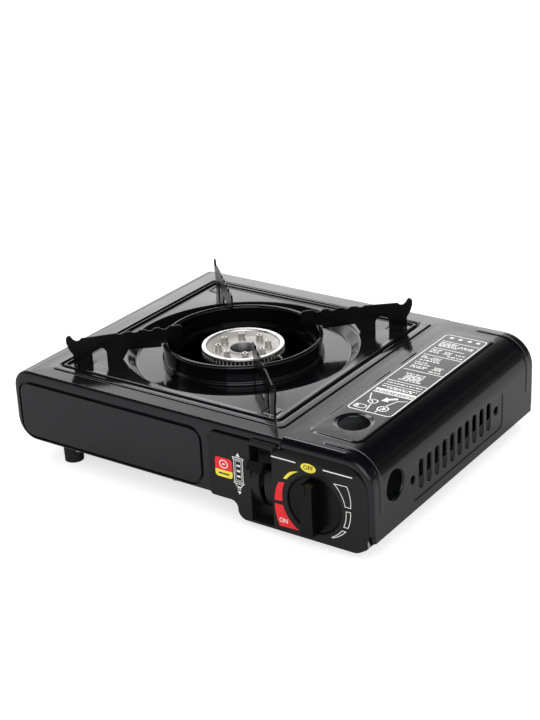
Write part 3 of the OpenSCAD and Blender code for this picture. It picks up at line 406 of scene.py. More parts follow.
def inside(outline, x, y):
    """Whether a point lies in a closed outline."""
    hit = False
    for (x0, y0), (x1, y1) in zip(outline, outline[1:] + outline[:1]):
        if (y0 > y) != (y1 > y) and x < x0 + (x1 - x0) * (y - y0) / (y1 - y0):
            hit = not hit
    return hit


def pressed(outline, features, holes, place, bends=(), step=1.6):
    """Points and faces of a sheet cut to a flat outline and pressed; place(x, y, height) gives each point."""
    flat, edges = [], []

    def add_line(line, closed):
        first = len(flat)
        flat.extend(Vector(p) for p in line)
        last = len(line) if closed else len(line) - 1
        edges.extend((first + i, first + (i + 1) % len(line)) for i in range(last))

    add_line(outline, True)
    for line in bends:
        add_line(line, False)
    for shape, profile in features:
        for d, _ in profile:
            add_line(ring(shape, d, step), True)
    for shape in holes:
        add_line(ring(shape, 0, step), True)
    flat_points, _, triangles, *_ = delaunay_2d_cdt(flat, edges, [], 0, 1e-4)
    kept = []
    for triangle in triangles:
        x = sum(flat_points[i][0] for i in triangle) / 3
        y = sum(flat_points[i][1] for i in triangle) / 3
        if inside(outline, x, y) and not any(distance(hole, x, y) < 0 for hole in holes):
            kept.append(tuple(triangle))
    used = sorted({i for triangle in kept for i in triangle})
    index = {old: new for new, old in enumerate(used)}
    points = []
    for i in used:
        x, y = flat_points[i]
        height = sum(along(profile, distance(shape, x, y)) for shape, profile in features)
        points.append(place(x, y, height))
    return points, [tuple(index[i] for i in triangle) for triangle in kept]


def joined(*parts):
    """One point list and one face list from several."""
    points, faces = [], []
    for part_points, part_faces in parts:
        base = len(points)
        points.extend(part_points)
        faces.extend(tuple(base + i for i in face) for face in part_faces)
    return points, faces


def flipped(part):
    """The same part with its faces turned over."""
    return part[0], [tuple(reversed(face)) for face in part[1]]


class Section:
    """A sheet's bent cross-section in the XZ plane; the outer side is on the right of the walk."""

    def __init__(self, corners, start):
        self.runs = []
        self.start = s = start
        here = Vector(corners[0][:2])
        for k in range(1, len(corners)):
            corner = Vector(corners[k][:2])
            radius = corners[k][2] if len(corners[k]) > 2 else 0
            way = (corner - here).normalized()
            turn = 0
            if radius:
                onward = (Vector(corners[k + 1][:2]) - corner).normalized()
                turn = math.atan2(way.x * onward.y - way.y * onward.x, way.dot(onward))
            cut = radius * math.tan(abs(turn) / 2)
            length = (corner - way * cut - here).length
            self.runs.append((s, s + length, here, way, 0, 0))
            s += length
            here = corner - way * cut
            if radius:
                self.runs.append((s, s + radius * abs(turn), here, way, radius, turn))
                s += radius * abs(turn)
                here = corner + onward * cut
        self.end = s

    def at(self, s):
        """Point and outward normal at the walked length s."""
        for s0, s1, here, way, radius, turn in self.runs:
            if s <= s1 + 1e-6:
                break
        normal = Vector((way.y, -way.x))
        if not radius:
            return here + way * (s - s0), normal
        side = 1 if turn > 0 else -1
        turned = Matrix.Rotation(side * (s - s0) / radius, 2) @ normal
        return here - normal * side * radius + turned * side * radius, turned

    def marks(self, step_degrees=9):
        """Lengths at which the sheet is divided: ends of runs and steps round the bends."""
        marks = [self.start]
        for s0, s1, _, _, radius, turn in self.runs:
            count = max(1, math.ceil(abs(math.degrees(turn)) / step_degrees)) if radius else 1
            marks.extend(s0 + (s1 - s0) * (i + 1) / count for i in range(count))
        return marks


def wrapped(section, y0, y1, roll, features, holes):
    """The part of a pressed cover that follows its section, between the rolled ends."""
    marks = section.marks()
    outline = [(s, y0 + roll(s)) for s in marks] + [(s, y1 - roll(s)) for s in reversed(marks)]
    bends = [[(s, y0 + roll(s)), (s, y1 - roll(s))] for s in marks[1:-1]]

    def place(s, y, height):
        point, normal = section.at(s)
        point = point + normal * height
        return (point.x, y, point.y)

    return flipped(pressed(outline, features, holes, place, bends))


def rolled_end(section, y, inward, roll, drop, first, last, steps=7):
    """The rolled edge between a wrapped sheet and its end wall, from one length to another."""
    marks = [first] + [s for s in section.marks() if first + 0.01 < s < last - 0.01] + [last]
    points, faces = [], []
    for s in marks:
        point, normal = section.at(s)
        for i in range(steps + 1):
            a = i / steps * math.pi / 2
            place = point - normal * drop(s) * (1 - math.cos(a))
            points.append((place.x, y + inward * roll(s) * (1 - math.sin(a)), place.y))
    for k in range(len(marks) - 1):
        for i in range(steps):
            a = k * (steps + 1) + i
            faces.append((a, a + steps + 1, a + steps + 2, a + 1))
    part = (points, faces)
    return part if inward > 0 else flipped(part)


def end_outline(section, drop, first, last):
    """Upper edge of an end wall, below the rolled edge of a wrapped sheet."""
    marks = [first] + [s for s in section.marks() if first + 0.01 < s < last - 0.01] + [last]
    outline = []
    for s in marks:
        point, normal = section.at(s)
        outline.append(tuple(point - normal * drop(s)))
    return outline


def lathe(profile, segments, x, y):
    """Turns (radius, height) points about a vertical axis."""
    points, faces = [], []
    count = len(profile)
    for k in range(segments):
        a = 2 * math.pi * k / segments
        points.extend((x + r * math.cos(a), y + r * math.sin(a), z) for r, z in profile)
    for k in range(segments):
        n = (k + 1) % segments
        for i in range(count - 1):
            faces.append((k * count + i, n * count + i, n * count + i + 1, k * count + i + 1))
    return points, faces


def arc(cx, cy, r, a0, a1, count):
    """Points of an arc between two angles in degrees."""
    angles = [math.radians(a0 + (a1 - a0) * i / count) for i in range(count + 1)]
    return [(cx + r * math.cos(a), cy + r * math.sin(a)) for a in angles]


def front_wall(y):
    """Places a flat (x, z) sheet in the front, where height points to the viewer."""
    return lambda x, z, height: (x, y - height, z)


def back_wall(y):
    """Places a flat (x, z) sheet in the back, where height points backward."""
    return lambda x, z, height: (x, y + height, z)


# ---------- camera, stage and light ----------


def camera():
    """Camera at the photograph's place, with its slight roll."""
    data = bpy.data.cameras.new("camera")
    data.lens = 79.53
    data.sensor_width = 36
    cam = bpy.data.objects.new("camera", data)
    bpy.context.scene.collection.objects.link(cam)
    place = Vector((0.6925, -0.9790, 0.6077))
    aim = Vector((-0.0033, 0.0042, 0.0749))
    roll = math.radians(-2.66)
    cam.rotation_mode = "QUATERNION"
    forward = (aim - place).normalized()
    level = forward.cross(Vector((0, 0, 1))).normalized()
    upright = level.cross(forward)
    right = level * math.cos(roll) + upright * math.sin(roll)
    up = upright * math.cos(roll) - level * math.sin(roll)
    turn = Matrix((right, up, -forward)).transposed()
    cam.matrix_world = Matrix.Translation(place) @ turn.to_4x4()
    bpy.context.scene.camera = cam


def studio():
    """A low bright band, strongest behind on the left, dark behind on the right and at the front left.

    Only reflections show it; everything else sees plain white.
    """
    world = bpy.data.worlds.new("studio")
    bpy.context.scene.world = world
    world.use_nodes = True
    tree = world.node_tree
    tree.nodes.clear()
    place = add(tree, "ShaderNodeTexCoord")
    height = add(tree, "ShaderNodeSeparateXYZ", [(place.outputs["Generated"], "Vector")])
    level = ramp(tree, height.outputs["Z"], 0.24, 1.0, grey(0.42), grey(0.04))
    for sine, share in ((0.32, 0.9), (0.355, 1.0), (0.39, 0.76), (0.42, 0.48), (0.45, 0.34), (0.53, 0.28),
                        (0.62, 0.03)):
        level.color_ramp.elements.new(sine).color = grey(share)
    shade = level.outputs["Color"]
    # direction, then (cosine, share) at the first, middle and last stop
    sides = (((-0.6, 0.75, 0.3), (0.55, 0.35), (0.75, 0.7), (0.88, 1)),
             ((0.45, 0.6, 0.62), (0.53, 1), (0.72, 0.62), (0.92, 0.1)),
             ((-0.5, -0.7, 0.5), (0.86, 1), (0.92, 0.5), (0.96, 0.1)))
    for way, first, middle, last in sides:
        facing = add(tree, "ShaderNodeVectorMath", [(place.outputs["Generated"], 0)],
                     operation="DOT_PRODUCT")
        facing.inputs[1].default_value = Vector(way).normalized()
        side = ramp(tree, facing.outputs["Value"], first[0], last[0], grey(first[1]), grey(last[1]))
        side.color_ramp.elements.new(middle[0]).color = grey(middle[1])
        both = add(tree, "ShaderNodeVectorMath", [(shade, 0), (side.outputs["Color"], 1)],
                   operation="MULTIPLY")
        shade = both.outputs["Vector"]
    reflected = add(tree, "ShaderNodeBackground", [(shade, "Color")], Strength=3.0)
    ambient = add(tree, "ShaderNodeBackground", Color=grey(1), Strength=1.0)
    white = add(tree, "ShaderNodeBackground", Color=grey(1), Strength=1.0)
    ray = add(tree, "ShaderNodeLightPath")
    direct = add(tree, "ShaderNodeMath", [(ray.outputs["Is Camera Ray"], 0),
                                          (ray.outputs["Is Transmission Ray"], 1)], operation="MAXIMUM")
    lit = add(tree, "ShaderNodeMixShader", [(ray.outputs["Is Glossy Ray"], "Fac")])
    tree.links.new(ambient.outputs[0], lit.inputs[1])
    tree.links.new(reflected.outputs[0], lit.inputs[2])
    shown = add(tree, "ShaderNodeMixShader", [(direct.outputs[0], "Fac")])
    tree.links.new(lit.outputs[0], shown.inputs[1])
    tree.links.new(white.outputs[0], shown.inputs[2])
    add(tree, "ShaderNodeOutputWorld", [(shown.outputs[0], "Surface")])
    bpy.context.scene.view_settings.view_transform = "Standard"


def softbox(name, direction, reach, width, height, level):
    """An area lamp that looks at the stove; level is its brightness, where 1 is white."""
    data = bpy.data.lights.new(name, "AREA")
    data.shape = "RECTANGLE"
    data.size = width
    data.size_y = height
    data.energy = level * width * height * math.pi
    lamp = bpy.data.objects.new(name, data)
    bpy.context.scene.collection.objects.link(lamp)
    way = Vector(direction).normalized()
    target = Vector((0, 0, 0.06))
    lamp.location = target + way * reach
    lamp.rotation_euler = (-way).to_track_quat("-Z", "Y").to_euler()
    return lamp


def floor():
    """Pale paper floor, shown near white, with the stove's soft shadow on it."""
    material = bpy.data.materials.new("pale_paper")
    material.use_nodes = True
    tree = material.node_tree
    shader = tree.nodes["Principled BSDF"]
    shader.inputs["Base Color"].default_value = linear(0xC2C2C2)
    shader.inputs["Roughness"].default_value = 0.9
    shader.inputs["Specular IOR Level"].default_value = 0.0
    grain = object_noise(tree, 6, 2.0)
    bump_from(tree, shader, grain.outputs["Fac"], 0.02, 0.1)
    ray = add(tree, "ShaderNodeLightPath")
    glow = add(tree, "ShaderNodeEmission", Color=grey(1), Strength=0.66)
    both = add(tree, "ShaderNodeAddShader")
    tree.links.new(shader.outputs[0], both.inputs[0])
    tree.links.new(glow.outputs[0], both.inputs[1])
    pick = add(tree, "ShaderNodeMixShader", [(ray.outputs["Is Camera Ray"], "Fac")])
    tree.links.new(shader.outputs[0], pick.inputs[1])
    tree.links.new(both.outputs[0], pick.inputs[2])
    tree.links.new(pick.outputs[0], tree.nodes["Material Output"].inputs["Surface"])
    mesh = bpy.data.meshes.new("floor")
    half = 12.0
    corners = [(-half, -half, 0), (half, -half, 0), (half, half, 0), (-half, half, 0)]
    mesh.from_pydata(corners, [], [(0, 1, 2, 3)])
    plane = bpy.data.objects.new("floor", mesh)
    mesh.materials.append(material)
    bpy.context.scene.collection.objects.link(plane)


# ---------- top shell ----------

TOP_DROP = 8.0  # how far the rolled edge comes down over the end walls at the top
SIDE_DROP = 4.5  # the same at the side
LIP_ROLL = 1.5  # roll and drop of that edge under the base
SHELL_END = SEAM - 0.6
STEP_X = SEAM - 36  # where the end walls step down from BASE to LOW
body_section = Section([(SHELL_END, TOP), (LEFT, TOP, 16), (LEFT, BASE, 18), (STEP_X, BASE)], -SHELL_END)


def body_roll(s):
    """How far the rolled edge reaches along the stove."""
    low_bend = body_section.runs[3]
    return along([(low_bend[0], 2.0), (low_bend[1], LIP_ROLL)], s)


def body_drop(s):
    """How far the rolled edge comes down over the end wall."""
    top_bend, low_bend = body_section.runs[1], body_section.runs[3]
    return along([(top_bend[0], TOP_DROP), (top_bend[1], SIDE_DROP), (low_bend[0], SIDE_DROP),
                  (low_bend[1], LIP_ROLL)], s)


def top_shell():
    """Pressed cover: a tray recess in a raised panel, and a raised front field with a groove round it."""
    section = body_section
    half = TRAY_W / 2 + 0.8
    opening = rounded(-TRAY_X - half, -TRAY_X + half, MID - half, MID + half, 5)
    recess = [(-0.8, -2.7), (-0.3, -2.5), (0.2, -1.9), (0.6, -1.0), (1.2, -0.45), (2.0, -0.12), (2.8, 0)]
    border = rounded(-85.5, 143.5, MID - 116, MID + 114.5, 5)
    border_step = [(-1.4, 0.9), (-1.0, 0.82), (-0.5, 0.5), (0, 0.12), (0.4, 0)]
    reach = 103.8
    well = rounded(opening[0] - reach, opening[0] + reach, MID - reach, MID + reach, 2)
    low_bend_end = section.runs[3][1]
    underside = rounded(low_bend_end + 9, section.end + 20, FRONT + 9, BACK - 9, 1)
    cover = wrapped(section, FRONT, BACK, body_roll, [(opening, recess), (border, border_step)],
                    [well, underside])
    ends = [rolled_end(section, FRONT, 1, body_roll, body_drop, section.start, section.end),
            rolled_end(section, BACK, -1, body_roll, body_drop, section.start, section.end)]
    wall = end_outline(section, body_drop, section.start, section.end)
    wall += [(STEP_X, LOW), (SHELL_END, LOW)]
    field = rounded(LEFT + 6.2, 18.5, BASE + 3.4, TOP - TOP_DROP - 1.9, 11)
    field_edge = [(-1.5, 0.6), (-1.0, 0.5), (-0.6, 0.15), (-0.4, -1.1), (0, -1.5), (0.9, -1.5), (1.3, -1.1),
                  (1.5, -0.2), (1.8, 0)]
    recess_cut = rounded(RECESS_X - 11.9, RECESS_X + 11.9, LOW - 5, RECESS_TOP + 1.9, 0.5)
    front = pressed(wall, [(field, field_edge)], [recess_cut], front_wall(FRONT))
    back = flipped(pressed(wall, [], [], back_wall(BACK)))
    make_piece("shell_sheet", *joined(cover, *ends, front, back), ENAMEL, "body", "black_enamel",
               ["top_shell"], thickness=SHEET)


def bay_end_walls():
    """End walls of the cartridge bay, set in by one sheet behind the lid's lips."""
    edge = SEAM - 1
    low_r, top_r = 8, 24
    outer = [(edge, LOW)]
    outer += arc(PANEL_RIGHT - low_r, LOW + low_r, low_r, -90, 0, 6)
    outer += arc(PANEL_RIGHT - top_r, TOP - 3 - top_r, top_r, 0, 90, 10)
    outer.append((edge, TOP - 3))
    knob_hole = disc(KNOB_X, KNOB_Z, KNOB_R + 2)
    rear_y = BACK - 1.6
    front = pressed(outer, [], [knob_hole], front_wall(WALL_Y))
    back = flipped(pressed(outer, [], [], back_wall(rear_y)))
    flange, flange_end = 10, RIGHT - 20
    lips = []
    for y0, y1 in ((WALL_Y, WALL_Y + flange), (rear_y - flange, rear_y)):
        flat = [(edge, y0, LOW), (flange_end, y0, LOW), (flange_end, y1, LOW), (edge, y1, LOW)]
        lips.append((flat, [(3, 2, 1, 0)]))
    for y0, y1 in ((FRONT + 1, WALL_Y + 1), (rear_y - 1, BACK - 1)):
        side = [(edge, y0, LOW), (edge, y1, LOW), (edge, y1, TOP - 4), (edge, y0, TOP - 4)]
        lips.append((side, [(0, 1, 2, 3)]))
    make_piece("bay_end_walls", *joined(front, back, *lips), ENAMEL, "body", "black_enamel", thickness=SHEET)


# ---------- cartridge lid ----------

LID_CORNER = 26.0  # radius of the bend along the lid's right side
BEAD = 0.6  # height of a bead
LID_SIDE = RIGHT - BEAD
lid_start = -(LID_SIDE - LID_CORNER) - LID_CORNER * math.pi / 2 - (LID_TOP - LID_CORNER - LID_BASE)
lid_section = Section([(LID_SIDE, LID_BASE), (LID_SIDE, LID_TOP, LID_CORNER), (SEAM, LID_TOP)], lid_start)
LIP_LOW = HINGE[1] + 7


def side_s(z):
    """Length along the lid's section at a height of its side."""
    return lid_start + z - LID_BASE


def lid_roll(s):
    """How far the lid's rolled edge reaches along the stove, from the side to the top."""
    corner = lid_section.runs[1]
    return along([(corner[0], 3.0), (corner[1], 5.5)], s)


def lid_drop(s):
    """How far the lid's rolled edge comes down over its end lip, from the side to the top."""
    corner = lid_section.runs[1]
    return along([(corner[0], 3.4), (corner[1], LID_TOP - PANEL_TOP - 1.2)], s)


def cartridge_lid():
    """Pressed lid: raised panel, window, a bead near each end, and a vented field and a hole in its side."""
    section = lid_section
    panel = rounded(-150, -103, -104.5, 115, 9)
    panel_edge = [(-2.7, 0.8), (-2.0, 0.7), (-1.1, 0.35), (-0.2, 0.05), (0.3, 0)]
    window = disc(-WINDOW[0], WINDOW[1], WINDOW[2])
    window_edge = [(0, -2.4), (0.25, -1.3), (0.8, -0.75), (1.6, -0.6), (2.6, -0.5), (3.3, -0.12), (3.8, 0)]
    features = [(panel, panel_edge), (window, window_edge)]
    bead = [(-1.5, BEAD), (-1.1, 0.9 * BEAD), (-0.5, 0.45 * BEAD), (0, 0.08 * BEAD), (0.3, 0)]
    bead_r = 2.6
    for y in (-113.0, 125.5):
        features.append((rounded(side_s(35), -124, y - bead_r, y + bead_r, bead_r), bead))
    vents = rounded(side_s(22), side_s(55), -70, 82, 7)
    features.append((vents, [(-1.6, -0.8), (-1.1, -0.7), (-0.5, -0.3), (0, -0.04), (0.3, 0)]))
    holes = [window]
    vent_y, vent_z = MID - 4, LID_BASE + 26.5
    slot_r, slot_half = 3.1, 12
    slot_edge = [(0, -0.7), (0.3, -0.3), (0.8, -0.05), (1.1, 0)]
    for i in range(10):
        y = vent_y + (i / 9 - 0.5) * 110
        slot = rounded(side_s(vent_z - slot_half), side_s(vent_z + slot_half), y - slot_r, y + slot_r, slot_r)
        features.append((slot, slot_edge))
        holes.append(slot)
    for side in (-1, 1):
        hole = disc(side_s(vent_z), vent_y + side * 68, 3.5)
        features.append((hole, slot_edge))
        holes.append(hole)
    round_hole = disc(side_s(vent_z + 9), WINDOW[1] - 17, WINDOW[2])
    features.append((round_hole, [(0, -1.4), (0.3, -0.7), (0.9, -0.2), (1.5, 0)]))
    holes.append(round_hole)
    parts = [wrapped(section, FRONT, BACK, lid_roll, features, holes)]
    inner_right = PANEL_RIGHT + 0.6
    inner_top = PANEL_TOP + 0.6
    inner_r = 20.6
    lip = end_outline(section, lid_drop, side_s(LIP_LOW), section.end) + [(SEAM, inner_top)]
    lip += arc(inner_right - inner_r, inner_top - inner_r, inner_r, 90, 0, 10)
    lip.append((inner_right, LIP_LOW))
    for y, inward in ((FRONT, 1), (BACK, -1)):
        parts.append(rolled_end(section, y, inward, lid_roll, lid_drop, side_s(LIP_LOW), section.end))
        if inward > 0:
            parts.append(pressed(lip, [], [], front_wall(y)))
        else:
            parts.append(flipped(pressed(lip, [], [], back_wall(y))))
    make_piece("lid_sheet", *joined(*parts), ENAMEL, "cartridge_lid", "black_enamel", ["cartridge_lid"],
               thickness=SHEET)


def lid_ears():
    """Hinge ears inside the lid's lower corners."""
    thickness, pin_hole_r = 1.2, 2.1
    for name, y in (("front", WALL_Y + 1.4), ("rear", BACK - 4.2)):
        outline = [(LID_SIDE - 1, LID_BASE), (LID_SIDE - 1, HINGE[1] + 14), (LID_SIDE - 3, HINGE[1] + 14)]
        outline += arc(HINGE[0], HINGE[1], 5, 60, 275, 12)
        pin_hole = disc(HINGE[0], HINGE[1], pin_hole_r)
        ear = flipped(pressed(outline, [], [pin_hole], back_wall(y + thickness), step=0.8))
        make_piece("lid_ear_" + name, *ear, ENAMEL, "cartridge_lid", "black_enamel", thickness=thickness)


# ---------- drip tray, wind ring and supports ----------


def drip_tray():
    """Pressed tray: rolled rim, round dish, lipped burner hole and a square groove at each corner."""
    half = TRAY_W / 2
    edge = rounded(TRAY_X - half, TRAY_X + half, MID - half, MID + half, 5)
    rim = [(-4.6, 0), (-3.9, 0.25), (-3.2, 0.9), (-2.5, 1.45), (-1.7, 1.6), (-0.9, 1.4), (-0.35, 0.8),
           (-0.08, -0.1), (0, -0.9)]
    dish = disc(TRAY_X, MID, 98.3)
    slope = [(-9.6, -8.5), (-8.6, -8.3), (-7.4, -7.4), (-2.4, -1.9), (-1.2, -0.7), (-0.2, -0.12), (0.6, 0)]
    hole = disc(TRAY_X, MID, 56)
    lip = [(0, 1.6), (0.4, 1.5), (0.9, 0.9), (1.5, 0.25), (2.2, 0)]
    features = [(edge, rim), (dish, slope), (hole, lip)]
    groove = [(-1.7, 0), (-1.1, -0.25), (-0.4, -0.38), (0.3, -0.25), (0.9, 0)]
    groove_in, groove_half = 14.5, 6.5
    for sx, sy in ((1, 1), (-1, 1), (-1, -1), (1, -1)):
        x, y = TRAY_X + sx * (half - groove_in), MID + sy * (half - groove_in)
        square = rounded(x - groove_half, x + groove_half, y - groove_half, y + groove_half, 2)
        features.append((square, groove))
    outline = ring(edge, 0)
    tray = pressed(outline, features, [hole], lambda x, y, h: (x, y, TRAY_Z + h), step=2.2)
    make_piece("tray_sheet", *tray, ENAMEL, "drip_tray", "black_enamel", ["drip_tray"], thickness=SHEET)


def wind_ring():
    """Spun ring: flared foot, a plain wall and a rim rolled inward."""
    foot = DISH_Z
    roll_z = TRAY_Z + 10.5 - 3
    outside = [(68.2, foot), (68.1, foot + 2.6), (67.9, foot + 3.5), (67.4, foot + 4.1), (66.9, foot + 4.5),
               (66.6, foot + 5.2), (66.5, foot + 6.2), (67.3, roll_z + 0.4)]
    outside += arc(65.2, roll_z + 0.8, 2.2, 0, 180, 12)
    outside += [(63.0, roll_z), (63.4, roll_z - 1)]
    wall = lathe(outside, 120, TRAY_X, MID)
    make_piece("ring_sheet", *wall, ENAMEL, "drip_tray", "black_enamel", ["wind_ring"], thickness=0.8)


def burner_head():
    """Die-cast head: bright rim over fine teeth with painted shade behind them, a bowl with eight bored posts
    whose bores are painted shade, and a skirt in near-black aluminium.
    """
    top, seat = head_high.z, head_low.z
    radius = (head_high.x - head_low.x) / 2
    bowl = top - 5.5
    wall = radius - 4.6
    skirt_top = top - 5.8
    rim_base = top - 2.3
    slot = "burner_aluminium"

    profile = [(11, bowl + 1.4), (11.4, bowl + 1.9), (12.2, bowl + 2), (12.9, bowl + 1.5), (13.6, bowl + 0.3),
               (14.6, bowl), (radius - 11, bowl + 0.3), (radius - 9.2, bowl + 1.3), (wall, top - 1.6),
               (wall, skirt_top)]
    shell = flipped(lathe(profile, 96, TRAY_X, MID))
    skirt = [(wall, skirt_top), (radius - 0.4, skirt_top), (radius, top - 6.1), (radius - 0.3, top - 6.5),
             (radius - 0.3, seat + 2), (radius - 1.5, seat), (11, seat)]
    make_piece("burner_head_skirt", *flipped(lathe(skirt, 96, TRAY_X, MID)), DARK_SKIRT, "body", slot)
    bore = [(11, bowl + 1.4), (10.2, bowl - 1), (9.4, bowl - 5), (9.2, seat)]
    make_piece("burner_head_bore", *lathe(bore, 64, TRAY_X, MID), CASTING, "body", slot)
    rim = [(radius - 4.5, top - 1.6), (radius - 3.9, top - 0.4), (radius - 3.3, top), (radius - 1.1, top)]
    rim += arc(radius - 1.1, top - 1.1, 1.1, 90, 0, 5)[1:]
    rim += [(radius, top - 1.9), (radius - 0.5, rim_base), (radius - 4.5, rim_base)]
    turned_rim = flipped(lathe(rim + [rim[0]], 96, TRAY_X, MID))
    make_piece("burner_head_rim", *turned_rim, TURNED, "body", slot)
    # painted shade: a dark film round the casting behind the teeth, where the gaps fall in shadow
    dark = lathe([(radius - 1.5, top - 5.9), (radius - 1.5, top - 2.2)], 96, TRAY_X, MID)
    make_piece("burner_head_slots", *dark, PAINTED_SHADE, "body", slot)

    teeth = []
    tooth_count = 60
    centre = Vector((TRAY_X, MID, 0))
    tooth_in, tooth_out = radius - 3.4, radius - 0.7
    for k in range(tooth_count):
        a = 2 * math.pi * k / tooth_count
        side = Vector((-math.sin(a), math.cos(a), 0)) * 0.6
        out = Vector((math.cos(a), math.sin(a), 0))
        corners = [centre + out * tooth_in - side, centre + out * tooth_out - side * 0.8,
                   centre + out * tooth_out + side * 0.8, centre + out * tooth_in + side]
        points = [(p.x, p.y, z) for z in (top - 6.0, rim_base) for p in corners]
        teeth.append((points, [(0, 1, 5, 4), (1, 2, 6, 5), (2, 3, 7, 6), (4, 5, 6, 7)]))

    posts = []
    bores = []
    post_count = 8
    post_circle = radius - 14
    bore_r = 1.0
    bore_top = bowl + 5.9
    bore_low = bowl + 4
    post = [(3.9, bowl - 0.4), (3.3, bowl + 0.2), (3.1, bowl + 0.9), (2.6, bowl + 5.8), (2.3, bowl + 6.1),
            (1.2, bowl + 6.1), (bore_r, bore_top)]
    for k in range(post_count):
        a = 2 * math.pi * k / post_count - math.radians(6)
        x, y = TRAY_X + post_circle * math.cos(a), MID + post_circle * math.sin(a)
        posts.append(lathe(post, 20, x, y))
        bores.append(lathe([(bore_r, bore_top), (bore_r, bore_low), (0.01, bore_low)], 20, x, y))
    casting = joined(shell, *teeth)
    make_piece("burner_head_casting", *casting, BURNER, "body", slot, ["burner_head"])
    make_piece("burner_head_posts", *joined(*posts), POST, "body", slot)
    # painted shade: the post bores' walls and floors are drawn in the dark film
    make_piece("burner_head_post_bores", *joined(*bores), PAINTED_SHADE, "body", slot)


def soften(node, width, segments=2, angle=35):
    """Small broken edges and clean shading on a CAD node, by modifiers alone."""
    piece = nodes[node]
    weld = piece.modifiers.new("weld", "WELD")
    weld.merge_threshold = 0.01 * MM
    edge = piece.modifiers.new("edges", "BEVEL")
    edge.width = width * MM
    edge.segments = segments
    edge.limit_method = "ANGLE"
    edge.angle_limit = math.radians(angle)
    edge.harden_normals = False
    shading = piece.modifiers.new("even shading", "WEIGHTED_NORMAL")
    shading.keep_sharp = False


# ---------- prints ----------

INK = 0.05  # how far a printed layer stands off its surface


def fill(*outlines):
    """Flat shapes, one face each, from lists of points."""
    return joined(*[(outline, [tuple(range(len(outline)))]) for outline in outlines])


def stroke(line, width, closed=True):
    """A drawn line of even width along points."""
    count = len(line)
    points, faces = [], []
    for i, here in enumerate(line):
        here = Vector(here)
        before = Vector(line[i - 1]) if closed or i else None
        after = Vector(line[(i + 1) % count]) if closed or i + 1 < count else None
        ways = [(here - before).normalized()] if before is not None else []
        if after is not None:
            ways.append((after - here).normalized())
        way = (ways[0] + ways[-1]).normalized()
        side = Vector((-way.y, way.x))
        side *= width / 2 / max(0.4, side.dot(Vector((-ways[0].y, ways[0].x))))
        points += [tuple(here + side), tuple(here - side)]
    for i in range(count if closed else count - 1):
        a, b = 2 * i, 2 * ((i + 1) % count)
        faces.append((a, a + 1, b + 1, b))
    return points, faces


def box_outline(x0, x1, y0, y1):
    """Corners of a plain rectangle."""
    return [(x0, y0), (x1, y0), (x1, y1), (x0, y1)]


def plain_row(x0, x1, y, height, first):
    """A row of plain bars of uneven length."""
    lengths = (3.2, 1.5, 2.4, 4.1, 1.9, 2.8, 1.2)
    gap = 0.9
    bars = []
    x = x0
    while x < x1 - 0.8:
        end = min(x + lengths[first % len(lengths)], x1)
        bars.append(box_outline(x, end, y - height / 2, y + height / 2))
        x = end + gap
        first += 1
    return bars


def letters(text, cx, cy, height, stretch=1.0):
    """Outlines of the dial's own words as one mesh part."""
    curve = bpy.data.curves.new(text, "FONT")
    curve.body = text
    curve.align_x = "CENTER"
    curve.align_y = "CENTER"
    curve.offset = 0.012
    holder = bpy.data.objects.new(text, curve)
    mesh = bpy.data.meshes.new_from_object(holder)
    size = height / 0.69  # a capital is 0.69 of the font's size
    points = [(cx + v.co.x * size * stretch, cy + v.co.y * size) for v in mesh.vertices]
    faces = [tuple(face.vertices) for face in mesh.polygons]
    bpy.data.objects.remove(holder)
    return points, faces


def on_panel(name, part, ink, layer=1):
    """A print on the control panel, from (x, z) points; layer 2 lies on layer 1."""
    points, faces = part
    flat = [(x, PANEL_Y - INK * layer, z) for x, z in points]
    make_piece(name, flat, facing_faces(points, faces), ink, "body", "black_plastic")


def on_lid(name, part, ink):
    """A print on the lid's raised panel, from (x, y) points."""
    points, faces = part
    flat = [(x, y, LID_TOP + 0.8 + INK) for x, y in points]
    make_piece(name, flat, facing_faces(points, faces), ink, "cartridge_lid", "black_enamel")


def facing_faces(points, faces):
    """The faces, all counter-clockwise in their plane."""
    turned = []
    for face in faces:
        area = sum(points[face[i - 1]][0] * points[k][1] - points[k][0] * points[face[i - 1]][1]
                   for i, k in enumerate(face))
        turned.append(face if area > 0 else tuple(reversed(face)))
    return turned


def polar(r, degrees):
    """A point on the panel by its radius and angle about the knob."""
    a = math.radians(degrees)
    return (KNOB_X + r * math.cos(a), KNOB_Z + r * math.sin(a))


def scale_mark(inner, outer, steps=14):
    """A mark beside the knob between two lists of (degrees, radius)."""
    def edge(table):
        a0, a1 = table[0][0], table[-1][0]
        return [polar(along(table, a0 + (a1 - a0) * i / steps), a0 + (a1 - a0) * i / steps)
                for i in range(steps + 1)]
    return edge(inner) + edge(outer)[::-1]


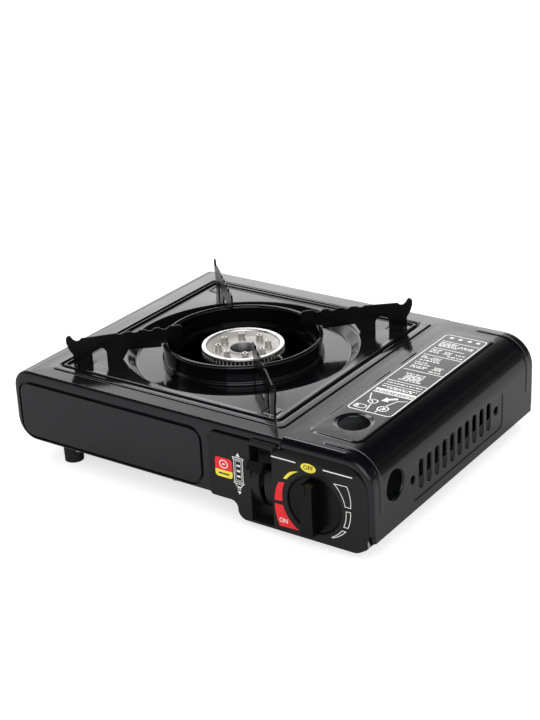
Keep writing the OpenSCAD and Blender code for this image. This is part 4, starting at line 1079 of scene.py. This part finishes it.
def panel_prints():
    """Bars, the OFF badge and the marks round the knob."""
    low, high = 67.3, 68.2
    bars = [box_outline(86.3, 108, low, high), box_outline(131.6, 156.7, low, high)]
    on_panel("panel_bars", fill(*bars), WHITE_INK)
    badge_x, badge_z, half_w, half_h = 119.0, 66.0, 6.6, 3.7
    angles = [i / 36 * 2 * math.pi for i in range(36)]
    badge = [(badge_x + half_w * math.cos(a), badge_z + half_h * math.sin(a)) for a in angles]
    on_panel("off_badge", fill(badge), YELLOW_INK)
    on_panel("off_word", letters("OFF", badge_x, badge_z, 3.5, 0.96), DARK_INK, 2)
    sliver = scale_mark([(118, 27.9), (146, 28.4)], [(118, 28.1), (132, 30.5), (149.5, 30.9)])
    on_panel("low_mark", fill(sliver), YELLOW_INK)
    middle = scale_mark([(154, 28.4), (187.5, 28.0)], [(159, 32.8), (187.5, 35.3)])
    lower = scale_mark([(194.5, 28.6), (241, 28.6)], [(191.8, 35.8), (213, 39.2), (219.2, 40.5)])
    on_panel("high_marks", fill(middle, lower), RED_INK)
    on_panel("on_word", letters("ON", 95.4, 15.6, 3.6, 0.95), WHITE_INK, 2)
    outlines = [
        scale_mark([(13.5, 27.8), (52, 29.2)], [(11.5, 32.4), (39, 37.2)], 8),
        scale_mark([(-22.8, 27.6), (5.5, 27.9)], [(-20.5, 31.0), (5.5, 31.7)], 8),
        scale_mark([(-56, 26.8), (-31.2, 27.8)], [(-56, 27.4), (-27.8, 30.6)], 8),
    ]
    on_panel("right_marks", joined(*[stroke(outline, 0.55) for outline in outlines]), WHITE_INK)


def panel_ledge():
    """Small moulded ledge over the lever's recess."""
    x0, x1 = RECESS_X - 9, SEAM - 3.5
    z0, z1 = PANEL_TOP - 0.1, PANEL_TOP + 2.2
    section = [(FRONT + 0.2, z0), (PANEL_Y + 0.2, z0), (PANEL_Y - 0.2, z0 + 0.4), (PANEL_Y - 0.2, z1 - 0.9),
               (PANEL_Y + 0.5, z1), (FRONT + 0.2, z1)]
    count = len(section)
    points = [(x, y, z) for x in (x0, x1) for y, z in section]
    faces = [(i, (i + 1) % count, count + (i + 1) % count, count + i) for i in range(count)]
    faces += [tuple(reversed(range(count))), tuple(range(count, 2 * count))]
    make_piece("panel_ledge", *flipped((points, faces)), PANEL, "body", "black_plastic", bevel=0.25)


def knob_bezel():
    """Low round bead moulded on the panel round the knob; its darker knob plastic is painted shade for the
    gap round the knob.
    """
    inner, width, height = KNOB_R + 0.6, 1.5, 0.45
    profile = [(inner, 0.0), (inner + 0.25, height * 0.8), (inner + width / 2, height),
               (inner + width - 0.25, height * 0.8), (inner + width, 0.0)]
    points, faces = lathe(profile, 72, 0, 0)
    bezel = [(KNOB_X + x, PANEL_Y - z, KNOB_Z + y) for x, y, z in points]
    make_piece("knob_bezel", bezel, faces, GRIP, "body", "black_plastic")


def cartridge_symbol():
    """Generic cartridge between an up and a down arrow."""
    arrows = [[(55.7, 62.4), (53.9, 59.3), (57.5, 59.3)], [(55.7, 27.0), (57.5, 29.8), (53.9, 29.8)]]
    bars = [box_outline(54.2, 57.4, z - 0.8, z + 0.8) for z in (51.5, 47.0, 42.5)]
    lines = [
        stroke(box_outline(50.9, 60.3, 56.7, 58.2), 0.6),
        stroke(box_outline(51.6, 59.6, 37.8, 56.4), 0.6),
        stroke(box_outline(53.1, 58.3, 39.1, 55.3), 0.35),
        stroke(box_outline(51.2, 60.2, 36.2, 37.5), 0.6),
        stroke([(52.2, 35.9), (53.7, 33.5), (57.5, 33.5), (59.2, 35.9)], 0.6),
        stroke(box_outline(54.6, 56.9, 31.3, 32.9), 0.5),
    ]
    on_panel("cartridge_symbol", joined(fill(*arrows, *bars), *lines), WHITE_INK)


def label():
    """Two-colour label with a plain ring and bar."""
    left, right, split, corner = 34.0, 50.0, 44.3, 2.6

    def half(z0, z1, is_outer):
        """One half, round at its outer corners and square at the split."""
        outline = [p if is_outer(p[1]) else (left if p[0] < (left + right) / 2 else right, split)
                   for p in ring(rounded(left, right, z0, z1, corner), 0, 0.8)]
        return fill(without_repeats(outline))

    on_panel("label_red", half(split, 54.8, lambda z: z > 49), RED_INK)
    on_panel("label_yellow", half(38.3, split, lambda z: z < 41.2), YELLOW_INK)
    motif = joined(stroke(ring(rounded(38.4, 45.6, 46.4, 52.6, 3.1), 0, 0.8), 0.8),
                   fill(box_outline(40.8, 43.2, 48.8, 50.2)))
    on_panel("label_motif", motif, WHITE_INK, 2)
    on_panel("label_bar", fill(box_outline(37.0, 47.0, 40.7, 41.9)), DARK_INK, 2)


def without_repeats(line):
    """A closed line without points that fall on the one before."""
    return [p for i, p in enumerate(line) if math.dist(p, line[i - 1]) > 1e-3]


# The print on the lid, in millimetres: rules and rows are y, first x, last x; crosses are x, y, radius.
DOT_X = (115.4, 123.6, 132.2, 139.9)
RULES = ((91.0, 111.2, 145.0), (75.5, 111.6, 139.5), (60.2, 110.7, 145.2), (27.4, 110.8, 145.6),
         (3.2, 110.2, 145.2), (-5.0, 111.3, 144.1))
ROWS = ((87.8, 112, 128), (85.4, 112, 127), (83.0, 112, 144), (80.6, 113, 130), (85.4, 131, 144),
        (72.2, 112, 121), (69.6, 112, 120), (66.8, 112, 121), (69.4, 135, 143), (64.0, 130, 144),
        (56.2, 112, 117), (53.6, 112, 130), (49.0, 113, 131), (44.0, 112, 123), (36.0, 113, 127),
        (33.4, 113, 126), (40.4, 113, 128), (31.0, 131, 143), (20.8, 117, 135), (7.8, 117, 137),
        (-0.8, 112, 144), (-8.6, 112, 143), (-11.0, 118, 140))
CROSSES = ((127.8, 69.0, 3.4), (125.5, 54.0, 3.6), (135.8, 37.6, 3.8))


def lid_print():
    """White frame with plain rows of bars, crossed rings and an arrow."""
    lines = [stroke(ring(rounded(108.2, 146.3, -55.3, 104.4, 3.5), 0, 1.2), 1.0)]
    shapes = [ring(rounded(x - 1.7, x + 1.7, 97.6, 101.0, 0.9), 0, 0.8) for x in DOT_X]
    for y, x0, x1 in RULES:
        shapes.append(box_outline(x0, x1, y - 0.5, y + 0.5))
    for i, (y, x0, x1) in enumerate(ROWS):
        shapes.extend(plain_row(x0, x1, y, 1.6, i))
    for x, y, r in CROSSES:
        lines.append(stroke([(x - r, y - r * 0.8), (x + r, y + r * 0.8)], 1.1, False))
        lines.append(stroke([(x - r, y + r * 0.8), (x + r, y - r * 0.8)], 1.1, False))
        lines.append(stroke(ring(disc(x, y, r * 0.72), 0, 0.8), 0.9))
    for i in range(4):
        lines.append(stroke([(119, 10.2 + 2.4 * i), (134.5, 10.6 + 2.4 * i)], 1.4, False))
    lines.append(stroke([(121, 9), (134, 19)], 0.7, False))
    shapes.append(box_outline(110.4, 145.4, -16.6, -13.6))
    shapes.append(box_outline(110.8, 145.4, -21.4, -19.9))
    shapes.extend(plain_row(111.5, 145, -18.3, 1.5, 2))
    lines.append(stroke([(112.0, -24.5), (115.5, -33), (121, -38), (124, -53.5)], 1.0, False))
    lines.append(stroke([(144.6, -25.5), (137.5, -29), (134.5, -38), (131.5, -53.5)], 1.0, False))
    lines.append(stroke(ring(rounded(117.0, 124.5, -40.5, -34.0, 3.0), 0, 0.8), 1.0))
    lines.append(stroke(ring(rounded(111.0, 121.0, -51.5, -45.5, 2.6), 0, 0.8), 0.9))
    lines.append(stroke(ring(rounded(130.0, 138.5, -49.5, -41.5, 3.6), 0, 0.8), 1.1))
    shapes.append(ring(disc(112.8, -48.3, 2.0), 0, 0.8))
    shapes.append(ring(disc(134.2, -45.4, 2.2), 0, 0.8))
    arrow = [(125.6, -33.6), (131.6, -33.2), (130.6, -30.6), (136.6, -26.4), (135.0, -23.8), (128.8, -28.2),
             (127.0, -25.8)]
    shapes.append(arrow)
    on_lid("lid_print", joined(fill(*shapes), *lines), WHITE_INK)


for direction in ("front_right", "rear_right", "rear_left", "front_left"):
    soften("support_" + direction, 0.3)
soften("knob", 0.5)
soften("lock_lever", 0.5)
soften("control_panel", 0.8, 3)

camera()
studio()
softbox("upper_left_softbox", (-0.55, 0.36, 0.75), 2.0, 0.9, 0.5, 5.0)
softbox("front_softbox", (0.55, -0.7, 0.55), 2.4, 2.2, 1.6, 1.3)
floor()
top_shell()
bay_end_walls()
cartridge_lid()
lid_ears()
drip_tray()
wind_ring()
burner_head()
panel_ledge()
knob_bezel()
panel_prints()
cartridge_symbol()
label()
lid_print()
